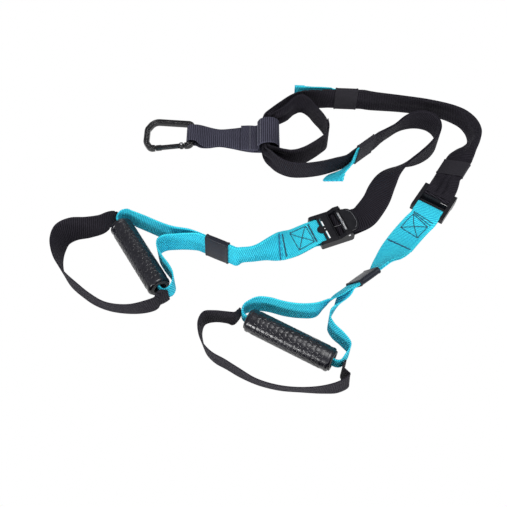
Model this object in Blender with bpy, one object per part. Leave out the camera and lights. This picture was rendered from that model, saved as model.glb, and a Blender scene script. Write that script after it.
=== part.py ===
"""A suspension trainer laid out on a table.

A carabiner holds an anchor strap. A long black strap runs through the anchor
strap's end loop, and each of its legs turns back through a cam buckle. A blue
handle strap hangs from each buckle and carries a slider, a grip and a foot
cradle. Metres, +Z up, the table is at height zero.
"""

import math
from collections import namedtuple

import bmesh
import bpy
from mathutils import Matrix, Vector

# The whole layout
LAYOUT_WIDTH = 0.600
PLACE = LAYOUT_WIDTH / 600
CLEARANCE = 0.00035
STATION_SPACING = 0.010

# Webbing
WEB_WIDTH = 0.038
WEB_THICK = 0.0016
ANCHOR_WIDTH = 0.050
ANCHOR_THICK = 0.0020
LAYER_PITCH = WEB_THICK + CLEARANCE
MOUTH_WIDTH_SHARE = 45

# Grips. The core's bore follows the folded strap's width, and the rest follows the bore
GRIP_LENGTH = 0.120
BORE_FIT = 0.00055
CORE_WALL = 0.0029
GRIP_WALL = 0.0040
CORE_BORE = WEB_WIDTH * MOUTH_WIDTH_SHARE / 200 + BORE_FIT
CORE_RADIUS = CORE_BORE + CORE_WALL
GRIP_RADIUS = CORE_RADIUS + GRIP_WALL
GRIP_EDGE_ROUND = 0.0022
CORE_LIP = 0.0012

# Strap sliders and sleeves
SLIDER_LENGTH = 0.034
SLIDER_WALL = 0.0028
SLEEVE_LENGTH = 0.035
SLEEVE_WALL = 0.0011
KEEPER_LENGTH = 0.030
RING_ROUND = 0.0008

# Cam buckles
BUCKLE_SIDE_FIT = 0.0006
CHEEK_THICK = 0.0054
BUCKLE_INNER = WEB_WIDTH + BUCKLE_SIDE_FIT * 2
BUCKLE_WIDTH = BUCKLE_INNER + CHEEK_THICK * 2
BUCKLE_HANDLE_END = -0.031
BUCKLE_STRAP_END = 0.018
CHEEK_HEIGHT = 0.0120
EAR_HEIGHT = 0.0175
BAR_RADIUS = 0.0025
BAR_HEIGHT = 0.0050
HANDLE_BAR_AT = -0.0195
TURN_BAR_AT = 0.004
BAR_STEP = 0.010
HEM_LENGTH = 0.056
AXLE_AT = 0.010
AXLE_HEIGHT = 0.0140
AXLE_RADIUS = 0.0016
AXLE_FIT = 0.00005
CAM_RADIUS = 0.0042
HUB_RADIUS = 0.0032
HUB_WIDTH = 0.0035
LEVER_REACH = 0.021
LEVER_THICK = 0.0026
LEVER_CORNER = 0.013
COVER_THICK = 0.0020
COVER_FROM = -0.0215
COVER_TO = -0.004
COVER_RIDGE = 0.0016
LOBE_RADIUS = 0.0060
SLOT_LENGTH = 0.0140
SLOT_WIDTH = 0.0034
SLOT_AT = -0.0165
SLOT_OFFSET = 0.0110
COVER_HOLE_RADIUS = 0.0013
SPRING_WIRE = 0.00045
SPRING_RADIUS = 0.0024
SPRING_SPAN = 0.0056
SPRING_TURNS = 4
POCKET_HALF = 0.0042

# Carabiner
SPINE_HALF_WIDTH = 0.0045
SPINE_HALF_HEIGHT = 0.0042
EYE_RADIUS = 0.0058
NARROW_HALF = 0.0215
WIDE_HALF = 0.0290
CARABINER_REACH = 0.0690
CARABINER_TILT = math.radians(-2.6)
GATE_RADIUS = 0.0038
GATE_BUMP = 0.0045
GATE_PIN_RADIUS = 0.0015
GATE_PIN_FIT = 0.00006
TONGUE_THICK = 0.0030
TONGUE_HALF = 0.0032
PUSH_WIRE = 0.00035
PUSH_RADIUS = 0.0016
PUSH_BORE = 0.0023
PUSH_LENGTH = 0.012
PUSH_TURNS = 8

BLACK_WEB = (0.022, 0.020, 0.024)
BLUE_WEB = (0.025, 0.440, 0.730)
BLACK_METAL = (0.016, 0.016, 0.018)
CHROME = (0.60, 0.60, 0.62)
STEEL = (0.40, 0.40, 0.42)
RUBBER = (0.024, 0.022, 0.028)
CORE_PLASTIC = (0.050, 0.050, 0.055)

UP = Vector((0, 0, 1))
ROUND = 24

Station = namedtuple("Station", "point side width thick back", defaults=(False,))

# Each route row holds x, y, lift, lean and width. The places and the lift are shares of the layout's
# width in six-hundredths. Lean is in degrees: 0 stands on edge and 90 lies flat. Width is in percent.
# A cradle's end rows hold S, O, lift and width, as the rows of a grip's mouth do.
LEFT_RUN_SHARES = (
    (24, -36, 1.6, 68, 100),
    (6, -47, 1.6, 38, 100),
    (-13, -56, 2.0, 11, 100),
    (-31, -63.5, 3.0, -3, 100),
    (-46, -66.5, 4.0, -4, 100),
)
LEFT_FAR_SHARES = (
    (-118, -38, 3, 2, 100),
    (-138, -32, 1, 0, 100),
    (-158, -24, 0, 0, 100),
    (-180, -13, 0, 0, 100),
    (-197, -4.5, 0.4, 0, 96),
    (-205.5, 1, 1.8, 0, 84),
)
LEFT_NEAR_SHARES = (
    (-116, -43, 3, 2, 100),
    (-135, -42, 1, 0, 100),
    (-151.5, -43.5, 0, 0, 100),
    (-159.5, -49.5, 0, 0, 100),
    (-160, -61, 0, 0, 100),
    (-152, -77, 0, 0, 100),
    (-142, -91, 0, 0, 100),
    (-136.6, -102, 0.4, 0, 96),
    (-136.2, -110.4, 1.8, 0, 84),
)
RIGHT_RUN_SHARES = (
    (198, -6, 6.0, -90, 100),
    (181, -25, 3.5, -88, 100),
    (165, -46, 3.0, -78, 100),
    (150, -67, 3.2, -54, 100),
)
RIGHT_FAR_SHARES = (
    (78.5, -128.5, 4.4, -28, 100),
    (65.5, -138, 0.6, -14, 100),
    (50, -148.5, 0, 0, 100),
    (30, -150, 0, 0, 100),
    (9, -147, 0, 0, 100),
    (-11, -141, 0, 0, 100),
    (-25, -139.5, 0.4, 0, 96),
    (-34.5, -142, 1.8, 0, 84),
)
RIGHT_NEAR_SHARES = (
    (84, -130.5, 4.4, -28, 100),
    (74.5, -144, 0.6, -12, 100),
    (66, -156, 0, 0, 100),
    (64, -167, 0, 0, 100),
    (69.5, -179, 0, 0, 100),
    (80, -190, 0.4, 0, 96),
    (87.5, -202, 1.8, 0, 84),
)
LEFT_CRADLE_END_SHARES = ((5, 13.8, 6, 52), (-1, 13.8, 3, 68), (-10, 13.9, 0.6, 86))
RIGHT_CRADLE_END_SHARES = ((5, 13.9, 6, 52), (-1, 14, 3, 68), (-8.5, 16.1, 0.4, 88))
LEFT_CRADLE_SHARES = (
    (-242, -13, 0, 8, 96),
    (-260, -18.5, 0, 13, 100),
    (-280, -21, 0, 20, 100),
    (-293, -29.5, 0, 28, 100),
    (-297, -46, 0, 22, 100),
    (-295.5, -63, 0, 12, 100),
    (-289, -82, 0, 8, 100),
    (-275, -102, 0, 8, 100),
    (-257.5, -118, 0, 9, 100),
    (-238.5, -132.5, 0, 10, 100),
    (-217, -143, 0, 11, 100),
    (-190, -146.5, 0, 11, 100),
    (-169.5, -143, 0, 6, 98),
    (-156, -136, 0, 2, 90),
)
RIGHT_CRADLE_SHARES = (
    (-64, -158, 0, -4, 94),
    (-80, -157, 0, -6, 100),
    (-93, -159.5, 0, -2, 100),
    (-98, -171, 0, 3, 100),
    (-96.5, -187, 0, 6, 100),
    (-91, -202, 0, 6, 100),
    (-80, -214, 0, 6, 100),
    (-65, -223, 0, 6, 100),
    (-48, -234, 0, 7, 100),
    (-26, -246, 0, 12, 100),
    (0, -253.5, 0, 18, 100),
    (28, -256, 0, 18, 100),
    (54, -255.5, 0, 16, 100),
    (73, -251.5, 0, 10, 98),
    (85, -242.5, 0, 4, 92),
)
LEFT_LEG_SHARES = (
    (124, 8, 3.6, 88, 100),
    (135, 21, 3.2, 84, 100),
    (146, 38, 3.0, 78, 100),
    (155.5, 59, 3.0, 70, 100),
    (167, 77, 3.0, 56, 100),
    (186, 92, 2.4, 34, 100),
    (210, 105, 1, 12, 100),
    (233, 124, 0, 0, 100),
    (247, 146, 0, 0, 100),
    (248.5, 165, 0, 0, 100),
    (239, 179, 0, 0, 100),
    (221.5, 184, 0, -2, 100),
    (199, 177, 0, -10, 100),
    (178, 160, 0.5, -15, 100),
    (165, 149, 1.6, -12, 100),
)
LEFT_LEG_END_SHARES = (
    (104, 98.5, 0.4, -10, 100),
    (87, 92, 0, -8, 100),
    (68, 86, 0, -7, 100),
    (42, 82, 0, -7, 100),
    (22, 83.5, 0, -6, 100),
    (6, 92, 0, -3, 100),
    (-5, 104, 0.4, 0, 94),
    (-12.5, 116, 2, 0, 66),
    (-15, 127, 3, 0, 45),
    (-15, 142, 3, 0, 45),
    (-15, 157.6, 3, 0, 45),
)
RIGHT_LEG_SHARES = (
    (285, 122, 1.8, -128, 100),
    (295, 134, 1.2, -148, 100),
    (302.5, 149, 0.4, -164, 100),
    (301, 167, 0, -174, 100),
    (292, 184, 0, -182, 100),
    (278, 195, 0, -186, 100),
    (260, 203.5, 0, -189, 100),
    (234, 211, 0, -189, 100),
    (202, 217, 0, -188, 100),
    (169, 221.5, 0, -184, 100),
    (150, 224, 0.8, -181, 100),
)
RIGHT_LEG_END_SHARES = (
    (76, 228.5, 0.8, -180, 100),
    (58, 228.5, 0, -180, 100),
    (42, 226, 0, -180, 100),
    (26, 217.5, 0, -180, 100),
    (10, 203.5, 0, -180, 100),
    (-4, 194, 0.8, -180, 84),
    (-12, 189, 2.4, -180, 56),
    (-15, 181, 3, -180, 45),
    (-15, 170, 3, -180, 45),
    (-15, 158.4, 3, -180, 45),
)
EQUALISER_SHARES = (
    (80, 150, 0, 0, 100),
    (79.4, 166, 0, 0, 100),
    (73, 181, 0, 0, 100),
    (64, 195, 0, 0, 100),
    (55, 210, 0, 0, 100),
    (44, 218, 0, 0, 100),
    (33, 213, 0, 0, 100),
    (21, 200, 0, 0, 96),
    (8, 192, 0.8, 0, 80),
    (-3, 188, 2.4, 0, 55),
    (-8, 180, 3, 0, 45),
    (-8.5, 158, 3, 0, 45),
    (-8, 136, 3, 0, 45),
    (-5, 127, 2.6, 0, 52),
    (2, 117, 1, 0, 78),
    (13, 109, 0, 0, 96),
    (27, 106, 0, 0, 100),
    (42, 111, 0, 0, 100),
    (57, 121, 0, 0, 100),
    (70, 132, 0, 0, 100),
    (79.5, 142, 0, 0, 100),
    (82.2, 154, 0, 0, 100),
    (81.3, 168, 0, 0, 100),
)
LEFT_TAB_SHARES = (
    (113.5, 98.5, 1.0, -16, 96),
    (105.5, 90, 0.6, -32, 96),
    (96, 83, 0.4, -42, 96),
    (88.5, 77, 0.4, -50, 100),
    (84.5, 70.5, 0.4, -54, 100),
)
RIGHT_TAB_SHARES = (
    (90, 232, 1.8, -180, 98),
    (76, 234.3, 1.4, -182, 98),
    (62, 236, 1, -184, 98),
    (48, 237.2, 0.6, -184, 100),
    (34, 237.8, 0.6, -184, 100),
)

# The middle of the layout, then where the hard pieces lie: x, y and heading in degrees
MIDDLE_SHARES = (2.2, -11.4)
LEFT_BUCKLE_SHARES = (84, -8.5, 21)
RIGHT_BUCKLE_SHARES = (230, 35, 56)
LEFT_GRIP_SHARES = (-216, -12, -58.3)
RIGHT_GRIP_SHARES = (-37.5, -159, -29.1)
CARABINER_SHARES = (-125.5, 163)

# Pieces on a straight stretch of strap: x, y, heading, the strap's lift and lean, half the stretch
LEFT_SLIDER_SHARES = (-79, -57, 154.5, 4.2, 4, 28)
RIGHT_SLIDER_SHARES = (113, -103, -142, 6.4, -29, 28)
LEFT_SLEEVE_SHARES = (134, 122.5, -139, 1.6, -6, 26)
RIGHT_SLEEVE_SHARES = (114, 227, 177, 1.6, -180, 26)
KEEPER_SHARES = (264, 92, 57, 3.2, -112, 23)

# A strap that turns into a grip's mouth: S toward the slider, O outward, then lift and width
MOUTH_SHARES = (
    (9.0, 10.0, 4.0, 68),
    (2.4, 8.6, 6.6, 50),
    (0, 4, 7.4, MOUTH_WIDTH_SHARE),
    (0, -3, 7.4, MOUTH_WIDTH_SHARE),
    (0, -20, 7.4, MOUTH_WIDTH_SHARE),
    (0, -60, 7.4, MOUTH_WIDTH_SHARE),
)

# The anchor strap in its own length: x, y, height and width in percent
ANCHOR_EYE_WIDTH_SHARE = 61
ANCHOR_LOOP_SHARES = (
    (-50, 159, 6.1, 96),
    (-36, 158.5, 6.1, 100),
    (-26, 158, 6.3, 100),
    (-23, 158, 10, 100),
    (-23, 158, 16.5, 100),
    (-19.5, 158, 22, 100),
    (-11, 158, 25, 100),
    (0, 158, 24.2, 100),
    (6.5, 158, 18.5, 100),
    (7.8, 158, 10, 100),
    (4.5, 158, 3.2, 100),
    (-5, 158, 1.4, 100),
    (-20, 158, 1.4, 100),
    (-34, 158.2, 1.4, 98),
    (-48, 159, 1.4, 90),
    (-64, 160, 1.4, 76),
    (-83, 161, 1.4, 66),
    (-100, 162, 1.4, 80),
    (-112, 163, 1.4, 80),
    (-119, 163, 1.4, 64),
)
ANCHOR_BACK_SHARES = (
    (-118, 163, 13.2, 64),
    (-111, 163, 7.6, 78),
    (-102, 162, 4.0, 82),
    (-83, 161, 3.75, 66),
    (-64, 160, 3.75, 76),
    (-48, 159, 3.75, 90),
    (-36, 158.2, 3.75, 97),
    (-30, 158, 3.75, 100),
)


def clear_scene():
    for old in list(bpy.data.objects):
        bpy.data.objects.remove(old, do_unlink=True)


def material(name, colour, roughness, metallic=0.0):
    made = bpy.data.materials.new(name)
    made.use_nodes = True
    shader = made.node_tree.nodes["Principled BSDF"]
    shader.inputs["Base Color"].default_value = (*colour, 1.0)
    shader.inputs["Roughness"].default_value = roughness
    shader.inputs["Metallic"].default_value = metallic
    return made


def add_object(name, mesh_data, finish, origin=None, parent=None, hidden=False):
    """Link a mesh as an object. A world-space mesh is moved so that its origin lies at the given point."""
    bm = bmesh.new()
    bm.from_mesh(mesh_data)
    bmesh.ops.recalc_face_normals(bm, faces=bm.faces)
    if origin is not None:
        bmesh.ops.translate(bm, verts=bm.verts, vec=-Vector(origin))
    bm.to_mesh(mesh_data)
    bm.free()
    mesh_data.shade_smooth()
    mesh_data.set_sharp_from_angle(angle=math.radians(35))
    obj = bpy.data.objects.new(name, mesh_data)
    bpy.context.scene.collection.objects.link(obj)
    if origin is not None:
        obj.location = origin
    if parent is not None:
        obj.parent = parent
    if hidden:
        obj.hide_render = True
        obj.hide_viewport = True
        obj.display_type = "WIRE"
    else:
        obj.data.materials.append(material(name + "_finish", *finish))
    return obj


def add_empty(name, location, rotation):
    empty = bpy.data.objects.new(name, None)
    empty.location = location
    empty.rotation_euler = rotation
    bpy.context.scene.collection.objects.link(empty)
    return empty


def boolean(obj, cutter, operation):
    step = obj.modifiers.new(operation.lower() + "_" + cutter.name, "BOOLEAN")
    step.object = cutter
    step.operation = operation
    step.solver = "EXACT"


def place(x_share, y_share, height=0.0):
    x_middle, y_middle = MIDDLE_SHARES
    return Vector(((x_share - x_middle) * PLACE, (y_share - y_middle) * PLACE, height))


# Routes

def smooth_rows(rows):
    """Rows of numbers interpolated so that the curve passes through each of them without a kink."""
    rows = [Vector(row) for row in rows]
    rows = [rows[0] * 2 - rows[1]] + rows + [rows[-1] * 2 - rows[-2]]
    chords = [(Vector(b[:3]) - Vector(a[:3])).length for a, b in zip(rows, rows[1:])]
    spans = [math.sqrt(chord) for chord in chords]
    made = []
    for i in range(1, len(rows) - 2):
        before, start, end, after = rows[i - 1:i + 3]
        back, here, ahead = spans[i - 1:i + 2]
        leave = ((start - before) / back - (end - before) / (back + here) + (end - start) / here) * here
        arrive = ((end - start) / here - (after - start) / (here + ahead) + (after - end) / ahead) * here
        count = max(1, math.ceil(chords[i] * PLACE / STATION_SPACING))
        for step in range(count):
            t = step / count
            made.append(start * (2 * t ** 3 - 3 * t ** 2 + 1) + leave * (t ** 3 - 2 * t ** 2 + t)
                        + end * (3 * t ** 2 - 2 * t ** 3) + arrive * (t ** 3 - t ** 2))
    made.append(rows[-2])
    return made


def directions(points):
    found = []
    for i in range(len(points)):
        step = points[min(i + 1, len(points) - 1)] - points[max(i - 1, 0)]
        found.append(step.normalized())
    return found


def strap_route(rows, layers=1):
    """Stations of a strap along route rows. A strap folds in two lengthwise where it is narrow."""
    stack = WEB_THICK + LAYER_PITCH * (layers - 1)
    points, leans, widths, thicks = [], [], [], []
    for row in smooth_rows(rows):
        lean = math.radians(row[3])
        width = WEB_WIDTH * row[4] / 100
        fold = min(1, max(0, (80 - row[4]) / 35))
        thick = WEB_THICK * (1 + fold)
        half = width / 2 * abs(math.cos(lean)) + max(thick, stack) / 2 * abs(math.sin(lean))
        points.append(place(row[0], row[1], max(row[2] * PLACE, CLEARANCE) + half))
        leans.append(lean)
        widths.append(width)
        thicks.append(thick)
    stations = []
    for point, along, lean, width, thick in zip(points, directions(points), leans, widths, thicks):
        level = along.cross(UP).normalized()
        rise = level.cross(along)
        side = rise * math.cos(lean) + level * math.sin(lean)
        stations.append(Station(point, side.normalized(), width, thick))
    return stations


def straight_rows(shares):
    """Rows on a straight stretch through a slider or a sleeve."""
    x, y, heading, lift, lean, reach = shares
    along = Vector((math.cos(math.radians(heading)), math.sin(math.radians(heading))))
    return [(x + along.x * reach * step, y + along.y * reach * step, lift, lean, 100)
            for step in (-1, -0.8, -0.4, 0, 0.4, 0.8, 1)]


def frame_rows(frame, distances, lean, layers=1):
    """Rows on a buckle's own centre line, at the height of its bars."""
    stack = WEB_THICK + LAYER_PITCH * (layers - 1)
    rows = []
    for distance in distances:
        point = frame @ Vector((distance, 0, BAR_HEIGHT))
        lift = (point.z - stack / 2) / PLACE
        x_middle, y_middle = MIDDLE_SHARES
        rows.append((point.x / PLACE + x_middle, point.y / PLACE + y_middle, lift, lean, 100))
    return rows


def mouth_rows(grip_shares, end, rows):
    """Rows given from a grip's mouth, as world rows. The grip starts at end 0 and stops at end 1."""
    x, y, heading = grip_shares
    along = Vector((math.cos(math.radians(heading)), math.sin(math.radians(heading))))
    toward = Vector((-along.y, along.x))
    outward = along if end else -along
    mouth = Vector((x, y)) + along * (GRIP_LENGTH / PLACE) * end
    made = []
    for s_share, o_share, lift, width in rows:
        spot = mouth + toward * s_share + outward * o_share
        made.append((spot.x, spot.y, lift, 0, width))
    return made


def shifted(stations, offsets):
    """The stations moved along the strap's thickness, each by its own offset."""
    along = directions([station.point for station in stations])
    moved = []
    for station, direction, offset in zip(stations, along, offsets):
        normal = station.side.cross(direction).normalized()
        moved.append(station._replace(point=station.point + normal * offset))
    return moved


def travelled(stations):
    total, found = 0.0, [0.0]
    for a, b in zip(stations, stations[1:]):
        total += (b.point - a.point).length
        found.append(total)
    return found


def eased(stations, near, far, start, end):
    """Offsets that go from near to far between two distances along the strap."""
    found = []
    for distance in travelled(stations):
        t = min(1, max(0, (distance - start) / (end - start)))
        found.append(near + (far - near) * t * t * (3 - 2 * t))
    return found


def nearest(stations, point):
    flat = [(Vector(s.point[:2]) - Vector(point[:2])).length for s in stations]
    return flat.index(min(flat))


def turn_around(centre, start, across, radius, side, steps):
    """Stations of a strap half way round a bar, from one side of it to the other."""
    made = []
    for step in range(1, steps):
        angle = math.pi * step / steps
        point = centre + (start * math.cos(angle) + across * math.sin(angle)) * radius
        made.append(Station(point, side, WEB_WIDTH, WEB_THICK))
    return made


def turned_back(stations):
    """The stations in the opposite order, for a layer that runs back along the same route."""
    return [station._replace(back=not station.back) for station in stations[::-1]]


def ribbon(name, stations, finish, origin=None):
    """One closed strap through its stations. Stacked layers are cut into triangles alike."""
    bm = bmesh.new()
    rings = []
    for station, along in zip(stations, directions([s.point for s in stations])):
        normal = station.side.cross(along).normalized()
        side = station.side * station.width / 2
        deep = normal * station.thick / 2
        corners = (station.point - side - deep, station.point + side - deep,
                   station.point + side + deep, station.point - side + deep)
        rings.append([bm.verts.new(corner) for corner in corners])
    for station, ring, following in zip(stations, rings, rings[1:]):
        for a, b in ((0, 1), (1, 2), (3, 2), (0, 3)):
            if station.back:
                a, b = b, a
            bm.faces.new((ring[a], ring[b], following[b]))
            bm.faces.new((ring[a], following[b], following[a]))
    bm.faces.new(rings[0][::-1])
    bm.faces.new(rings[-1])
    mesh_data = bpy.data.meshes.new(name)
    bm.to_mesh(mesh_data)
    bm.free()
    return add_object(name, mesh_data, finish, origin)


# Simple solids

def box_mesh(name, low, high):
    bm = bmesh.new()
    bmesh.ops.create_cube(bm, size=1)
    low, high = Vector(low), Vector(high)
    bmesh.ops.scale(bm, vec=high - low, verts=bm.verts)
    bmesh.ops.translate(bm, vec=(low + high) / 2, verts=bm.verts)
    mesh_data = bpy.data.meshes.new(name)
    bm.to_mesh(mesh_data)
    bm.free()
    return mesh_data


def cylinder_mesh(name, radius, length, turn=None, centre=(0, 0, 0), segments=ROUND):
    bm = bmesh.new()
    bmesh.ops.create_cone(bm, cap_ends=True, segments=segments, radius1=radius, radius2=radius,
                          depth=length)
    if turn is not None:
        bmesh.ops.rotate(bm, verts=bm.verts, cent=(0, 0, 0), matrix=turn)
    bmesh.ops.translate(bm, vec=centre, verts=bm.verts)
    mesh_data = bpy.data.meshes.new(name)
    bm.to_mesh(mesh_data)
    bm.free()
    return mesh_data


def prism_mesh(name, outline, low, high, turn=None):
    """An outline in the XY plane, extruded from one height to the other."""
    bm = bmesh.new()
    face = bm.faces.new([bm.verts.new((x, y, low)) for x, y in outline])
    grown = bmesh.ops.extrude_face_region(bm, geom=[face])
    moved = [v for v in grown["geom"] if isinstance(v, bmesh.types.BMVert)]
    bmesh.ops.translate(bm, vec=(0, 0, high - low), verts=moved)
    if turn is not None:
        bmesh.ops.rotate(bm, verts=bm.verts, cent=(0, 0, 0), matrix=turn)
    mesh_data = bpy.data.meshes.new(name)
    bm.to_mesh(mesh_data)
    bm.free()
    return mesh_data


def lathe_mesh(name, profile, segments):
    """A closed profile of radius and height, spun round the Z axis."""
    bm = bmesh.new()
    corners = [bm.verts.new((radius, 0, height)) for radius, height in profile]
    edges = [bm.edges.new((a, b)) for a, b in zip(corners, corners[1:] + corners[:1])]
    bmesh.ops.spin(bm, geom=corners + edges, cent=(0, 0, 0), axis=(0, 0, 1),
                   angle=math.tau, steps=segments, use_merge=True)
    bmesh.ops.remove_doubles(bm, verts=bm.verts, dist=CLEARANCE / 50)
    mesh_data = bpy.data.meshes.new(name)
    bm.to_mesh(mesh_data)
    bm.free()
    return mesh_data


def tube_mesh(name, points, radius, sides=6):
    """A round wire through points, as one closed tube."""
    bm = bmesh.new()
    rings = []
    previous = None
    for point, along in zip(points, directions(points)):
        if previous is None:
            previous = along.orthogonal().normalized()
        across = (previous - along * previous.dot(along)).normalized()
        other = along.cross(across)
        previous = across
        ring = []
        for i in range(sides):
            angle = math.tau * i / sides
            ring.append(bm.verts.new(point + (across * math.cos(angle) + other * math.sin(angle)) * radius))
        rings.append(ring)
    for ring, following in zip(rings, rings[1:]):
        for i in range(sides):
            j = (i + 1) % sides
            bm.faces.new((ring[i], ring[j], following[j], following[i]))
    bm.faces.new(rings[0][::-1])
    bm.faces.new(rings[-1])
    mesh_data = bpy.data.meshes.new(name)
    bm.to_mesh(mesh_data)
    bm.free()
    return mesh_data


def ring_piece(name, stations, spot, length, wall, layers, finish, end_round):
    """A closed band round stacked straps: a slider or a sleeve, with its axes on the strap's."""
    index = nearest(stations, spot)
    centre = stations[index]
    along = directions([s.point for s in stations])[index]
    normal = centre.side.cross(along).normalized()
    deep = WEB_THICK * layers + CLEARANCE * (layers - 1)
    inner = (WEB_WIDTH / 2 + CLEARANCE, deep / 2 + CLEARANCE)
    outer = (inner[0] + wall, inner[1] + wall)
    bm = bmesh.new()
    loops = []
    for half, sign in ((outer, -1), (outer, 1), (inner, 1), (inner, -1)):
        loop = [bm.verts.new((sign * length / 2, half[0] * a, half[1] * b))
                for a, b in ((-1, -1), (1, -1), (1, 1), (-1, 1))]
        loops.append(loop)
    for loop, following in zip(loops, loops[1:] + loops[:1]):
        for i in range(4):
            j = (i + 1) % 4
            bm.faces.new((loop[i], loop[j], following[j], following[i]))
    long_edges = [bm.edges.get((loops[0][i], loops[1][i])) for i in range(4)]
    bmesh.ops.bevel(bm, geom=long_edges, offset=end_round, segments=2, affect="EDGES", profile=0.5)
    mesh_data = bpy.data.meshes.new(name)
    bm.to_mesh(mesh_data)
    bm.free()
    obj = add_object(name, mesh_data, finish)
    turn = Matrix((along, centre.side, normal)).transposed().to_4x4()
    obj.matrix_world = Matrix.Translation(centre.point) @ turn
    return obj


# Cam buckles

def buckle_frame_matrix(shares, flipped):
    x, y, heading = shares
    height = EAR_HEIGHT if flipped else 0.0
    turn = Matrix.Rotation(math.radians(heading), 4, "Z")
    if flipped:
        turn = turn @ Matrix.Rotation(math.pi, 4, "X")
    return Matrix.Translation(place(x, y, height)) @ turn


def cheek_outline():
    rise = AXLE_AT - TURN_BAR_AT
    return (
        (BUCKLE_HANDLE_END + COVER_THICK, 0),
        (BUCKLE_STRAP_END - COVER_THICK, 0),
        (BUCKLE_STRAP_END, COVER_THICK),
        (BUCKLE_STRAP_END, AXLE_HEIGHT - rise / 2),
        (AXLE_AT + rise * 0.7, EAR_HEIGHT),
        (AXLE_AT - rise * 0.7, EAR_HEIGHT),
        (COVER_TO + COVER_RIDGE, CHEEK_HEIGHT),
        (BUCKLE_HANDLE_END + COVER_THICK, CHEEK_HEIGHT),
        (BUCKLE_HANDLE_END, CHEEK_HEIGHT - COVER_THICK),
        (BUCKLE_HANDLE_END, COVER_THICK),
    )


def cam_buckle(label, frame):
    """The frame, its chrome axle, the cam lever and its spring, all on one empty."""
    empty = add_empty(label + "_buckle_place", frame.to_translation(), frame.to_euler())
    metal = (BLACK_METAL, 0.42, 0.6)
    side_turn = Matrix.Rotation(math.pi / 2, 3, "X")
    half = BUCKLE_WIDTH / 2
    inner = BUCKLE_INNER / 2
    cheek = prism_mesh(label + "_buckle_frame", cheek_outline(), -half, -inner, side_turn)
    body = add_object(label + "_buckle_frame", cheek, metal, parent=empty)
    parts = [
        prism_mesh("cheek", cheek_outline(), inner, half, side_turn),
        cylinder_mesh("handle_bar", BAR_RADIUS, BUCKLE_WIDTH - COVER_THICK, side_turn,
                      (HANDLE_BAR_AT, 0, BAR_HEIGHT), 16),
        cylinder_mesh("turn_bar", BAR_RADIUS, BUCKLE_WIDTH - COVER_THICK, side_turn,
                      (TURN_BAR_AT, 0, BAR_HEIGHT), 16),
        box_mesh("cover", (COVER_FROM, -half + COVER_THICK, CHEEK_HEIGHT - COVER_THICK),
                 (COVER_TO, half - COVER_THICK, CHEEK_HEIGHT - COVER_THICK / 10)),
        cylinder_mesh("lobe", LOBE_RADIUS, COVER_THICK, None,
                      (COVER_FROM, 0, CHEEK_HEIGHT - COVER_THICK * 0.55)),
        box_mesh("ridge", (COVER_TO - COVER_RIDGE, -inner - COVER_THICK, CHEEK_HEIGHT - COVER_THICK / 2),
                 (COVER_TO - COVER_RIDGE / 4, inner + COVER_THICK, CHEEK_HEIGHT + COVER_RIDGE)),
    ]
    for part in parts:
        form = add_object(label + "_" + part.name, part, metal, parent=empty, hidden=True)
        boolean(body, form, "UNION")
    cuts = [
        box_mesh("slot_a", (SLOT_AT - SLOT_WIDTH / 2, SLOT_OFFSET - SLOT_LENGTH / 2, BAR_HEIGHT),
                 (SLOT_AT + SLOT_WIDTH / 2, SLOT_OFFSET + SLOT_LENGTH / 2, EAR_HEIGHT)),
        box_mesh("slot_b", (SLOT_AT - SLOT_WIDTH / 2, -SLOT_OFFSET - SLOT_LENGTH / 2, BAR_HEIGHT),
                 (SLOT_AT + SLOT_WIDTH / 2, -SLOT_OFFSET + SLOT_LENGTH / 2, EAR_HEIGHT)),
        cylinder_mesh("cover_hole", COVER_HOLE_RADIUS, EAR_HEIGHT, None, (SLOT_AT, 0, EAR_HEIGHT), 12),
        cylinder_mesh("axle_hole", AXLE_RADIUS + AXLE_FIT, BUCKLE_WIDTH * 2, side_turn,
                      (AXLE_AT, 0, AXLE_HEIGHT)),
    ]
    for cut in cuts:
        cutter = add_object(label + "_" + cut.name, cut, metal, parent=empty, hidden=True)
        boolean(body, cutter, "DIFFERENCE")
    axle = cylinder_mesh(label + "_cam_axle", AXLE_RADIUS, BUCKLE_WIDTH, side_turn)
    axle_obj = add_object(label + "_cam_axle", axle, (CHROME, 0.14, 1.0), parent=empty)
    axle_obj.location = (AXLE_AT, 0, AXLE_HEIGHT)
    cam_lever(label, empty, side_turn)
    cam_spring(label, empty)
    return body


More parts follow.
